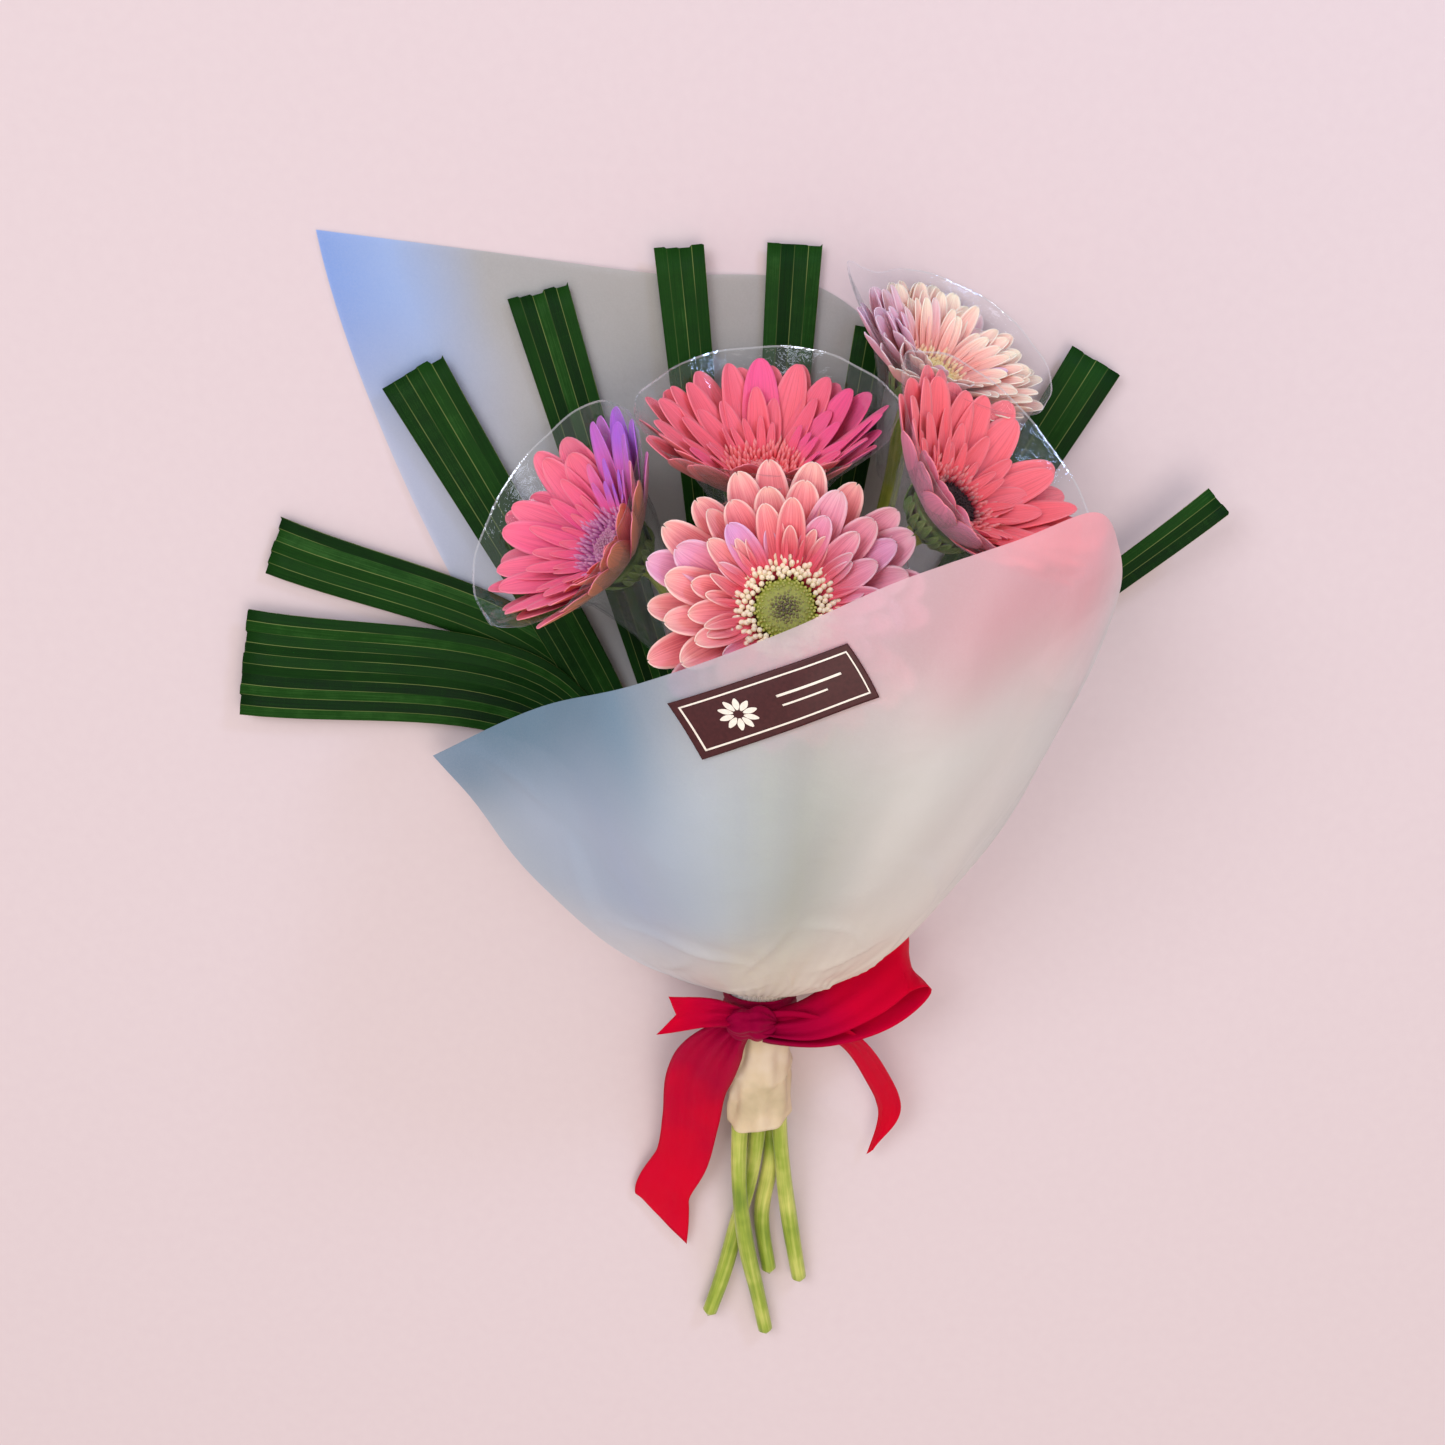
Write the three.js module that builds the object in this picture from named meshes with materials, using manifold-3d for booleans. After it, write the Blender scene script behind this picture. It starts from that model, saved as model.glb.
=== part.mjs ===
// A tied bunch of five gerberas with pleated palm leaves, lying on its back.
// Millimetres, +Z up. The tie is above the origin, the flowers lie towards +Y and the cut
// stems towards -Y. Everything rests on the plane z = 0.
import * as THREE from "three";
import { mergeVertices } from "three/addons/utils/BufferGeometryUtils.js";
import Module from "manifold-3d";

const wasm = await Module();
wasm.setup();

// ---------- driving dimensions, in mm ----------
const GAP = 0.3; // clearance between pieces that touch
const TIE_HEIGHT = 18; // the stems' middle above the surface, at the tie
const STEM_R = 3.5;
const FILM = 0.6; // thickness of the wrapping film
const SLEEVE_FILM = 0.6;
const LEAF_THICKNESS = 0.7;
const PLEAT_DEPTH = 1.0;
const PETAL_THICKNESS = 1.0;
const RECEPTACLE_R = 13; // the disc that the petals grow from
const CALYX_DEPTH = 14;
const COLLAR_R = 12.3; // inside radius of the inner film round the stems
const NECK_R = 13.6; // middle radius of the wrap where it is tied
const NECK_FROM = -6; // the wrap's lower hem, along Y
const NECK_TO = 6;
const RIBBON_WIDTH = 26;
const RIBBON_THICKNESS = 0.8;
const LABEL_THICKNESS = 0.6;
const LABEL_GAP = 0.9; // the film is faceted, so the label stands a little further off it

const COLOURS = {
  stem: "#6f9a3c", calyx: "#5d8a35", leaf: "#17401f", film: "#c3c9d1", clear: "#dfe6ea",
  collar: "#efe1cf", ribbon: "#b3122f", label: "#6b2a2a", binding: "#d9d2c0",
};

// ---------- helpers ----------
const V = (x, y, z) => new THREE.Vector3(x, y, z);
const vec = (p) => new THREE.Vector3(...p);
const smooth = (points) => new THREE.CatmullRomCurve3(points.map(vec), false, "centripetal");
const material = (color, roughness = 0.6) =>
  new THREE.MeshStandardMaterial({ color, roughness, metalness: 0 });

const bunch = new THREE.Group();
function add(name, geometry, color, roughness) {
  const mesh = new THREE.Mesh(geometry, material(color, roughness));
  mesh.name = name;
  bunch.add(mesh);
  return mesh;
}

// A thin slab bent into place: at(s, v, w) gives the point for s and v in 0..1 and w in -0.5..0.5.
function bent(across, along, at) {
  const slab = new THREE.BoxGeometry(1, 1, 1, across, along, 1);
  const position = slab.getAttribute("position");
  for (let i = 0; i < position.count; i++) {
    const p = at(position.getX(i) + 0.5, position.getY(i) + 0.5, position.getZ(i));
    position.setXYZ(i, p.x, p.y, p.z);
  }
  return slab;
}

// A strip that follows a curve: half gives the half-width vector and lift the offset along the normal.
function strip(curve, across, along, thickness, half, lift = () => 0) {
  return bent(across, along, (s, v, w) => {
    const side = half(v);
    const normal = side.clone().cross(curve.getTangent(v)).normalize();
    return curve.getPoint(v).addScaledVector(side, 2 * s - 1)
      .addScaledVector(normal, w * thickness + lift(s, v));
  });
}

function solid(geometry) {
  const bare = geometry.clone();
  bare.deleteAttribute("normal");
  bare.deleteAttribute("uv");
  const merged = mergeVertices(bare, 1e-4);
  return new wasm.Manifold(new wasm.Mesh({
    numProp: 3,
    vertProperties: merged.getAttribute("position").array,
    triVerts: new Uint32Array(merged.index.array),
  }));
}

function joined(geometries) {
  const whole = geometries.map(solid).reduce((a, b) => a.add(b)).getMesh();
  const geometry = new THREE.BufferGeometry();
  geometry.setAttribute("position", new THREE.BufferAttribute(whole.vertProperties, 3));
  geometry.setIndex(new THREE.BufferAttribute(whole.triVerts, 1));
  return geometry;
}

// A lathe about Z from a profile of [radius, height] pairs, listed from the bottom up on the outside.
function turned(profile, segments) {
  const points = profile.map(([r, h]) => new THREE.Vector2(r, h));
  return new THREE.LatheGeometry(points, segments).rotateX(Math.PI / 2);
}

// Turns a shape made about Z so that its +Z points along an axis, and moves it to a place.
function aimed(geometry, axis, place) {
  const turn = new THREE.Quaternion().setFromUnitVectors(V(0, 0, 1), axis);
  return geometry.applyMatrix4(
    new THREE.Matrix4().compose(place, turn, V(1, 1, 1)),
  );
}

// ---------- the flowers ----------
// head: the middle of the disc. faces: where the flower looks. base: where its sleeve closes on the stem.
// neck: the stem's place [x, z] in the tied part. foot: the stem's points below the tie, cut end last.
// Petal rings are [count, tip radius, tip height, width]. Sleeves are
// [rim radius, rim height, waist height]; heights are above the disc, along the way the flower looks.
const FLOWERS = {
  front: {
    head: [6, 185, 112], faces: [0, 0.342, 0.94], base: [5, 135, 46], neck: [0, 17.5],
    foot: [[-3, -85, 10.5], [-9, -113, 4.4], [-15, -138, 3.8], [-22, -160, 3.8]],
    outer: [14, 48, 6, 14], inner: [11, 33, 12, 11], disc: [11, 5], sleeve: [40, 1.2, -15],
    petal: "#e88fa0", centre: "#8f9a3a",
  },
  top: {
    head: [0, 220, 47], faces: [0, 0.927, 0.375], base: [0, 165, 24], neck: [-4.2, 11.2],
    foot: [[-6, -64, 10], [-9, -78, 8]],
    outer: [14, 38.5, 21, 12], inner: [11, 24, 15, 8], disc: [10, 4], sleeve: [44.5, 26, -4],
    petal: "#ef6f80", centre: "#d8606e",
  },
  right: {
    head: [64, 217, 94], faces: [0.647, 0.639, 0.414], base: [34, 165, 56], neck: [8, 20],
    foot: [[10.5, -84, 13], [13.5, -110, 7.5], [18.5, -143, 3.8]],
    outer: [14, 37, 18, 12], inner: [11, 24, 13, 8], disc: [10, 4], sleeve: [42, 22, -4],
    petal: "#f0727f", centre: "#3a1420",
  },
  back: {
    head: [63, 255, 31], faces: [0.441, 0.798, 0.411], base: [50, 215, 17], neck: [4.2, 11.2],
    foot: [[5.2, -80, 7.5], [1.5, -109, 4.4], [5.2, -139, 3.8]],
    outer: [14, 30, 12, 10], inner: [11, 22, 13, 8], disc: [10, 4], sleeve: [35, 16, -4],
    petal: "#f4c0bb", centre: "#e2d27a",
  },
  left: {
    head: [-57, 194, 48], faces: [-0.72, 0.528, 0.445], base: [-22, 140, 30], neck: [-8, 20],
    foot: [[-8.5, -85, 18.5], [-5.5, -118, 12.4], [0, -148, 5.5], [4, -169, 3.8]],
    outer: [14, 38.5, 21, 12], inner: [11, 24, 15, 8], disc: [10, 4], sleeve: [44, 25, -4],
    petal: "#e0699a", centre: "#b5578f",
  },
};
const STEM_STEPS = 22;
const TIED_LENGTH = 50; // the stems run side by side from the tie down to here
const SLEEVE_HOLE_R = 7;
const SLEEVE_WAIST_R = 22;
const PLATE = { outer: [-4.8, -3.3], inner: [-1.4, 0] }; // undersides and tops of the petal rings' hubs

// A ring of petals joined to a thin hub, made about Z with the disc's middle at the origin.
function petalRing([count, tipR, tipHeight, width], [low, high], turn) {
  const hub = turned([[0, low], [RECEPTACLE_R, low], [RECEPTACLE_R, high], [0, high]], 14);
  const height = (low + high) / 2;
  const petals = Array.from({ length: count }, (_, i) => {
    const angle = (2 * Math.PI * (i + turn)) / count;
    const out = V(Math.cos(angle), Math.sin(angle), 0);
    const side = V(-Math.sin(angle), Math.cos(angle), 0);
    const along = (r, z) => out.clone().multiplyScalar(r).setZ(z);
    const spine = new THREE.QuadraticBezierCurve3(
      along(RECEPTACLE_R - 3, height),
      along((RECEPTACLE_R + tipR) / 2, height + (tipHeight - height) * 0.35),
      along(tipR, tipHeight),
    );
    // As wide as its share of the ring allows, narrowing to a rounded tip.
    const outline = (v) => Math.min(width / 2, (0.86 * Math.PI * spine.getPoint(v).dot(out)) / count)
      * (1 - 0.6 * v ** 5);
    return strip(spine, 1, 2, PETAL_THICKNESS, (v) => side.clone().multiplyScalar(-outline(v)));
  });
  return joined([hub, ...petals]);
}

for (const [name, f] of Object.entries(FLOWERS)) {
  const head = vec(f.head);
  const axis = vec(f.faces).normalize();
  const base = vec(f.base);

  const calyx = turned([
    [0, -CALYX_DEPTH], [4.5, -CALYX_DEPTH], [9, -CALYX_DEPTH + 3], [12.4, -6.5],
    [RECEPTACLE_R, PLATE.outer[0] - GAP], [0, PLATE.outer[0] - GAP],
  ], 16);
  add(`${name}_calyx`, aimed(calyx, axis, head), COLOURS.calyx, 0.7);

  for (const [ring, turn] of [["outer", 0], ["inner", 0.5]])
    add(`${name}_${ring}_petals`,
      aimed(petalRing(f[ring], PLATE[ring], turn), axis, head), f.petal, 0.6);

  const [discR, discHeight] = f.disc;
  const disc = turned([
    [0, GAP], [discR, GAP], [discR * 0.9, discHeight * 0.7], [discR * 0.5, discHeight],
    [0, discHeight * 0.8],
  ], 16);
  add(`${name}_disc`, aimed(disc, axis, head), f.centre, 0.8);

  // The stem runs from its cut end through the tie to just under the calyx.
  const [x, z] = f.neck;
  const top = head.clone().addScaledVector(axis, -(CALYX_DEPTH + GAP));
  const route = [
    ...f.foot.slice().reverse(), [x, -TIED_LENGTH, z], [x, -TIED_LENGTH / 2, z], [x, 0, z],
    [x * 1.1, 12, z + 0.5], f.base,
    top.clone().addScaledVector(axis, -9).toArray(), top.toArray(),
  ];
  const section = new THREE.Shape().absarc(0, 0, STEM_R, 0, 2 * Math.PI);
  add(`${name}_stem`, new THREE.ExtrudeGeometry(section, {
    steps: STEM_STEPS, extrudePath: smooth(route), curveSegments: 4,
  }), COLOURS.stem, 0.55);

  // The clear sleeve is a thin trumpet round the head, drawn sideways to where the stem leaves it.
  const [rimR, rimHeight, waist] = f.sleeve;
  const reach = base.clone().sub(head).dot(axis);
  const wall = [[SLEEVE_HOLE_R, reach], [SLEEVE_WAIST_R, waist], [rimR, rimHeight]];
  const outside = wall.map(([r, h]) => [r + SLEEVE_FILM, h]);
  const sleeve = turned([...outside, ...wall.slice().reverse(), outside[0]], 24);
  const turnBack = new THREE.Quaternion().setFromUnitVectors(axis, V(0, 0, 1));
  const drift = base.clone().sub(head).addScaledVector(axis, -reach).applyQuaternion(turnBack);
  const points = sleeve.getAttribute("position");
  for (let i = 0; i < points.count; i++) {
    const share = THREE.MathUtils.clamp((waist - points.getZ(i)) / (waist - reach), 0, 1);
    points.setX(i, points.getX(i) + drift.x * share);
    points.setY(i, points.getY(i) + drift.y * share);
  }
  add(`${name}_sleeve`, aimed(sleeve, axis, head), COLOURS.clear, 0.1);
}

// ---------- the palm leaves ----------
// end: the middle of the square-cut end. width: across that end. angle: the base's place round the
// tied stems, in degrees from +X in the XZ plane. layer: 0 lies next to the film, 1 on top of it.
// widens: the power of the way along that the width follows, so below 1 it widens early. settles: its
// own distances and heights, for a leaf that comes down late over another.
const LEAVES = [
  { end: [-207, 139, 6], via: [-85, 120, 6.8], width: 44, angle: 195, layer: 1, pleats: 8, widens: 0.8,
    settles: [[14, 0.6], [45, 0.15]] },
  { end: [-193, 186, 3], via: [-80, 138, 3], width: 24, angle: 225, layer: 0, pleats: 5, widens: 0.8 },
  { end: [-135, 254, 4.9], via: [-68, 132, 4.9], width: 27, angle: 212, layer: 1, pleats: 5 },
  { end: [-86, 284, 3], via: [-48, 152, 3], width: 24, angle: 245, layer: 0, pleats: 5 },
  { end: [-32, 301, 6], via: [-18, 155, 6], width: 19, angle: 248, layer: 1, pleats: 4 },
  { end: [12, 302, 3], via: [4, 158, 3], width: 21, angle: 271, layer: 0, pleats: 4 },
  { end: [43, 270, 6], via: [21, 138, 6], width: 16, angle: 287, layer: 1, pleats: 3 },
  { end: [128, 258, 5], via: [55, 131, 3], width: 22, angle: 302, layer: 0, pleats: 4 },
  { end: [175, 207, 22], via: [84, 124, 6], width: 13, angle: 330, layer: 1, pleats: 3 },
];
const LEAF_BASE = { width: 3, from: 12, radius: [13.8, 12.3] };
const LEAF_SPREAD = 90; // the pleats open out over this distance from the base
const LEAF_SETTLES = [[13, 0.5], [30, 0.06]]; // distances from the base and the height still to lose

LEAVES.forEach((leaf, i) => {
  const angle = THREE.MathUtils.degToRad(leaf.angle);
  const r = LEAF_BASE.radius[leaf.layer];
  const root = V(r * Math.cos(angle), LEAF_BASE.from, TIE_HEIGHT + r * Math.sin(angle));
  const end = vec(leaf.end);
  const via = vec(leaf.via);
  const settles = leaf.settles ?? LEAF_SETTLES;
  const settling = settles.map(([distance, left]) => {
    const place = root.clone().lerp(via, distance / root.distanceTo(via));
    return place.setZ(via.z + (root.z - via.z) * left);
  });
  const spine = new THREE.CatmullRomCurve3([root, ...settling, via, end], false, "centripetal");
  const length = spine.getLength();
  const across = V(end.y - via.y, via.x - end.x, 0).normalize();
  const atBase = V(-Math.sin(angle), 0, Math.cos(angle));
  if (atBase.x < 0) atBase.negate();
  const open = (v) => THREE.MathUtils.smoothstep(v * length, 0, LEAF_SPREAD);
  const turnOver = (v) => THREE.MathUtils.smoothstep(v * length, 0, settles[1][0]);
  const half = (v) => atBase.clone().lerp(across, turnOver(v)).normalize()
    .multiplyScalar((LEAF_BASE.width + (leaf.width - LEAF_BASE.width) * v ** (leaf.widens ?? 1.3)) / 2);
  const zigzag = (s, v) => (Math.round(s * leaf.pleats) % 2 ? 1 : 0) * PLEAT_DEPTH * open(v);
  add(`palm_leaf_${i + 1}`, strip(spine, leaf.pleats, 9, LEAF_THICKNESS, half, zigzag),
    COLOURS.leaf, 0.5);
});

// ---------- the wrapping film ----------
// Ribs run from the tied neck to the sheet's outer edge, in order round the bunch: across the flat
// back, up the right side and over the front. Each has the neck angle and three curve points.
const RIBS = [
  { angle: 215, points: [[-70, 58, -24], [-155, 213, 0.3], [-170, 307, 0.3]] },
  { angle: 235, points: [[-40, 54, -14], [-90, 185, 0.3], [-106, 299, 0.3]] },
  { angle: 253, points: [[-15, 52, -8], [-36, 180, 0.3], [-43, 291, 0.3]] },
  { angle: 272, points: [[10, 50, -6], [17, 175, 0.3], [24, 284.5, 0.3]] },
  { angle: 290, points: [[34, 42, -8], [60, 140, 0.3], [73, 230, 0.3]] },
  { angle: 310, points: [[50, 24, -10], [94, 90, 0.3], [104, 142, 0.3]] },
  { angle: 332, points: [[58, 12, 8], [107, 88, 20], [119, 132, 25]] },
  { angle: 356, points: [[58, 5, 30], [109, 108, 60], [133, 178, 56]] },
  { angle: 380, points: [[48, 3, 42], [102, 118, 108], [124, 203, 88]] },
  { angle: 402, points: [[38, 5, 52], [86, 125, 146], [108, 220, 121]] },
  { angle: 423, points: [[28, 8, 58], [60, 126, 168], [77, 214, 145]] },
  { angle: 440, points: [[16, 10, 62], [34, 124, 166], [43, 202, 145]] },
  { angle: 455, points: [[0, 12, 62], [4, 120, 168], [6, 185, 144]] },
  { angle: 472, points: [[-20, 12, 58], [-36, 108, 160], [-44, 161, 122]] },
  { angle: 492, points: [[-44, 10, 42], [-72, 88, 86], [-84, 136, 63]] },
  { angle: 520, points: [[-75, 10, 26], [-105, 75, 20], [-131.5, 102, 11]] },
];
const neckAt = (angle, y) => V(
  NECK_R * Math.cos(THREE.MathUtils.degToRad(angle)), y,
  TIE_HEIGHT + NECK_R * Math.sin(THREE.MathUtils.degToRad(angle)),
);
const edgeRows = [0, 1, 2].map((k) => new THREE.CatmullRomCurve3(RIBS.map((rib) => vec(rib.points[k]))));
const angleRow = new THREE.CatmullRomCurve3(RIBS.map((rib) => V(rib.angle, 0, 0)));
const FILM_GRID = { across: 40, along: 11 };
const NECK_SHARE = 1 / FILM_GRID.along; // the first row of the film is its straight neck

function filmPoint(s, v) {
  const angle = angleRow.getPoint(s).x;
  if (v <= NECK_SHARE)
    return neckAt(angle, NECK_FROM + (NECK_TO - NECK_FROM) * (v / NECK_SHARE));
  const rib = new THREE.CubicBezierCurve3(
    neckAt(angle, NECK_TO), ...edgeRows.map((row) => row.getPoint(s)),
  );
  const point = rib.getPoint((v - NECK_SHARE) / (1 - NECK_SHARE));
  return point.setZ(Math.max(point.z, FILM / 2)); // the surface below flattens it
}

const lies = (p) => p.z < FILM / 2 + 1e-4;
function filmSurface(s, v, offset) {
  const point = filmPoint(s, v);
  const step = 1e-3;
  const sTo = s < 0.5 ? step : -step;
  const vTo = v < 0.5 ? step : -step;
  const along = filmPoint(s, v + vTo).sub(point).multiplyScalar(Math.sign(vTo));
  const across = filmPoint(s + sTo, v).sub(point).multiplyScalar(Math.sign(sTo));
  const normal = across.cross(along).normalize();
  if (lies(point)) normal.set(0, 0, 1).multiplyScalar(Math.sign(normal.z) || 1);
  return point.addScaledVector(normal, offset);
}
add("wrap_sheet", bent(FILM_GRID.across, FILM_GRID.along,
  (s, v, w) => filmSurface(s, v, w * FILM)), COLOURS.film, 0.35);

// The shop's paper label follows the front of the film, a little above it.
// Its corners' places on the film: right and left at the foot, then right and left at the top.
const LABEL_CORNERS = [[0.738, 0.861], [0.840, 0.849], [0.764, 0.947], [0.854, 0.954]];
const onLabel = (s, v, k) => THREE.MathUtils.lerp(
  THREE.MathUtils.lerp(LABEL_CORNERS[0][k], LABEL_CORNERS[1][k], s),
  THREE.MathUtils.lerp(LABEL_CORNERS[2][k], LABEL_CORNERS[3][k], s), v,
);
add("front_label", bent(6, 2, (s, v, w) => filmSurface(
  onLabel(s, v, 0), onLabel(s, v, 1), -(FILM / 2 + LABEL_GAP + LABEL_THICKNESS * (0.5 - w)),
)), COLOURS.label, 0.4);

// ---------- at the tie ----------
const aroundStems = (profile, segments) => turned(profile, segments)
  .rotateX(Math.PI / 2).translate(0, 0, TIE_HEIGHT);
const band = (inner, outer, from, to) =>
  [[inner, from], [outer, from], [outer, to], [inner, to], [inner, from]];

// aroundStems turns +Z to -Y, so distances below the tie are positive in these profiles.
const collarProfile = [
  [COLLAR_R, 1], [COLLAR_R, 30], [COLLAR_R + 0.6, 57], [COLLAR_R + 1.2, 57],
  [COLLAR_R + 0.6, 30], [COLLAR_R + 0.6, 1],
].reverse();
add("film_collar", aroundStems([...collarProfile, collarProfile[0]], 24), COLOURS.collar, 0.5);
add("stem_binding", aroundStems(band(12.3, 12.9, -5, -1), 24), COLOURS.binding, 0.7);

// ---------- the ribbon ----------
const RIBBON = {
  band: [NECK_R + FILM / 2 + GAP, NECK_R + FILM / 2 + GAP + RIBBON_THICKNESS],
  knot: { at: [-4, -4, 37], radii: [9, 7, 5] },
  loop: [[0, -6, 37], [24, -5, 33], [49, 9, 29], [64, 20, 27], [66, 10, 25], [51, -6, 26],
    [24, -12, 31], [0, -8, 37]],
  leftEnd: [[-6, -3, 36], [-20, 1, 38], [-37, -1, 34]],
  leftTail: [[-6, -4, 36], [-17, -15, 33], [-27, -40, 23], [-29, -66, 16], [-34, -92, 10],
    [-44, -112, 5], [-39, -130, 2]],
  rightTail: [[-4, -4, 35], [17, -4, 33], [37, -14, 29], [50, -36, 20], [56, -58, 12], [50, -77, 6]],
};
const knot = new THREE.SphereGeometry(1, 10, 6).scale(...RIBBON.knot.radii)
  .translate(...RIBBON.knot.at);
// A ribbon's width lies across the curve, turned about it by an angle from the level direction.
function ribbonRun(points, widthAt, tilt) {
  const curve = smooth(points);
  return strip(curve, 1, points.length * 2, RIBBON_THICKNESS, (v) => {
    const tangent = curve.getTangent(v);
    const level = V(tangent.y, -tangent.x, 0).normalize();
    return level.applyAxisAngle(tangent, tilt(v)).multiplyScalar(widthAt(v) / 2);
  });
}
// The loop is a closed band in two layers, so its width stands across the pair.
const loopCurve = smooth(RIBBON.loop);
const loop = strip(loopCurve, 1, 18, RIBBON_THICKNESS, (v) => {
  const tangent = loopCurve.getTangent(v);
  const upright = V(0.25, -0.55, 0.8).normalize();
  return upright.addScaledVector(tangent, -upright.dot(tangent)).normalize()
    .multiplyScalar((8 + (RIBBON_WIDTH - 12) * Math.sin(Math.PI * v)) / 2);
});
const widen = (v) => 9 + (RIBBON_WIDTH - 9) * THREE.MathUtils.smoothstep(v, 0, 0.45);
const tails = [
  ribbonRun(RIBBON.leftEnd, (v) => 9 + 6 * v, () => 0.4),
  ribbonRun(RIBBON.leftTail, (v) => Math.min(widen(v), 26 - 6 * v), () => 0.15),
  ribbonRun(RIBBON.rightTail, (v) => 8 + 3 * Math.sin(Math.PI * v), () => 0.4),
];
add("ribbon_bow", joined([
  aroundStems(band(RIBBON.band[0], RIBBON.band[1], -4, 9), 24), knot, loop, ...tails,
]), COLOURS.ribbon, 0.4);

// The part's origin is the middle of its bounding box, on the surface that it lies on.
const box = new THREE.Box3().setFromObject(bunch);
const middle = box.getCenter(new THREE.Vector3());
bunch.position.set(-middle.x, -middle.y, -box.min.z);

export default bunch;
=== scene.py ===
# %% [markdown]
# # A tied bunch of gerberas
# The bunch lies on its back: five gerbera heads in clear sleeves, pleated palm leaves, a sheet of frosted
# film brought round them, and a satin bow at the tie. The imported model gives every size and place, so the
# lesson starts by loading it. Lengths below are millimetres from the tie, and one function turns them
# into metres in the model's frame.

import bmesh
import bpy
import numpy as np
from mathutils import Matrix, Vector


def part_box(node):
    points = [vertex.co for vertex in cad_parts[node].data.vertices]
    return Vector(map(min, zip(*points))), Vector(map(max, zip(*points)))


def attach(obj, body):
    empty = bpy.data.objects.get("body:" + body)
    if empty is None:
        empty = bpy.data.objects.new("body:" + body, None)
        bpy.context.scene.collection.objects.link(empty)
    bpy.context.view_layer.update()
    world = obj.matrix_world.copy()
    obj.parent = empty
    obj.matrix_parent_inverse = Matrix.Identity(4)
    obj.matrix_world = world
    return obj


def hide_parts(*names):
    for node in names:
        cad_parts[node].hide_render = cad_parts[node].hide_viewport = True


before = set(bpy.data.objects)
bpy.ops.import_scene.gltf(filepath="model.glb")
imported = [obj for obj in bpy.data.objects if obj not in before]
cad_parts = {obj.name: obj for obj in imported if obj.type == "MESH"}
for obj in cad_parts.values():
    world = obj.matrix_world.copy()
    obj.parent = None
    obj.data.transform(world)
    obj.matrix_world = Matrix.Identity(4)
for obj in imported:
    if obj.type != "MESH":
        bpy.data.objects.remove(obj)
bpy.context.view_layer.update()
MM = 0.001
TIE_HEIGHT = 18.0  # the middle of the tied stems above the floor
tie_low, tie_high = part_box("stem_binding")
BINDING_MIDDLE = 3.0  # the binding's middle is this far from the tie, towards the flowers
TIE = np.array([(tie_low.x + tie_high.x) / 2, (tie_low.y + tie_high.y) / 2 - BINDING_MIDDLE * MM, 0.0])


def from_tie(points):
    """Metres in the model's frame: millimetres from the tie, scaled and moved to where the tie is."""
    return np.asarray(points, float) * MM + TIE


def middle_of(node):
    """Millimetres from the tie to the middle of a node's box: the mean of its corners, moved and scaled."""
    low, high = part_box(node)
    return ((np.array(low) + np.array(high)) / 2 - TIE) / MM


# %% [markdown]
# ## Camera, floor and light
# A florist shows a bunch from above and a little from the foot end. The camera looks down at it, tilted
# 16 degrees, with a normal lens. The floor is plain pale pink paper. Large soft lamps and a bright even
# sky keep the petals open in the shade and still leave small bright streaks on the clear film.

# %% Camera
CAMERA_PLACE = (-15.5, 337.2, 785.0)
CAMERA_TILT = -16.0
lens = bpy.data.cameras.new("camera")
lens.lens, lens.sensor_width = 50, 36
camera = bpy.data.objects.new("camera", lens)
camera.location = from_tie(CAMERA_PLACE)
camera.rotation_euler = (np.radians(CAMERA_TILT), 0, 0)
bpy.context.scene.collection.objects.link(camera)
bpy.context.scene.camera = camera
print("camera", [round(c, 3) for c in camera.location])


# %% Colours and shader helpers
def linear(code):
    """A hex colour as linear RGB and alpha 1: c / 12.92 below 0.04045, otherwise ((c + 0.055) / 1.055) to the 2.4."""
    c = np.array([int(code[i:i + 2], 16) for i in (1, 3, 5)]) / 255
    return (*np.where(c < 0.04045, c / 12.92, ((c + 0.055) / 1.055) ** 2.4), 1.0)


def add_node(material, kind, inputs=(), **settings):
    """A new shader node. inputs maps a socket's name or number to a value, or to a socket to link."""
    shader = material.node_tree.nodes.new("ShaderNode" + kind)
    for key, value in settings.items():
        setattr(shader, key, value)
    for key, value in dict(inputs).items():
        if isinstance(value, bpy.types.NodeSocket):
            material.node_tree.links.new(value, shader.inputs[key])
        else:
            shader.inputs[key].default_value = value
    return shader


def sum_of(material, operation, *values, clamp=False):
    """One Math node's result: the operation on two or three values or sockets."""
    return add_node(material, "Math", dict(enumerate(values)), operation=operation, use_clamp=clamp).outputs[0]


def ramp(material, factor, stops):
    """A colour ramp's result: stops are (place, hex colour)."""
    shader = add_node(material, "ValToRGB", {"Fac": factor})
    elements = shader.color_ramp.elements
    for place, _ in stops[2:]:
        elements.new(place)
    for element, (place, code) in zip(elements, sorted(stops)):
        element.position, element.color = place, linear(code)
    return shader.outputs[0]


def step(material, value, start, end):
    """0 before start, 1 after end, and smooth between: a Map Range node set to smoothstep."""
    return add_node(material, "MapRange", {"Value": value, "From Min": start, "From Max": end},
                    interpolation_type="SMOOTHSTEP").outputs[0]


def blend(material, factor, a, b):
    """Two colours mixed by a factor."""
    shader = add_node(material, "Mix", {0: factor}, data_type="RGBA")
    for socket, value in zip(shader.inputs[6:8], (a, b)):
        if isinstance(value, bpy.types.NodeSocket):
            material.node_tree.links.new(value, socket)
        else:
            socket.default_value = linear(value)
    return shader.outputs[2]


def noise(material, vector, scale, detail=2.0, roughness=0.5):
    """A Noise Texture's value, read at a vector."""
    return add_node(material, "TexNoise", {"Vector": vector, "Scale": scale, "Detail": detail,
                                           "Roughness": roughness}).outputs[0]


def stretched(material, vector, scale):
    """A vector scaled along each axis, so that a round pattern becomes streaks."""
    return add_node(material, "Mapping", {"Vector": vector, "Scale": scale}).outputs[0]


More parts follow.
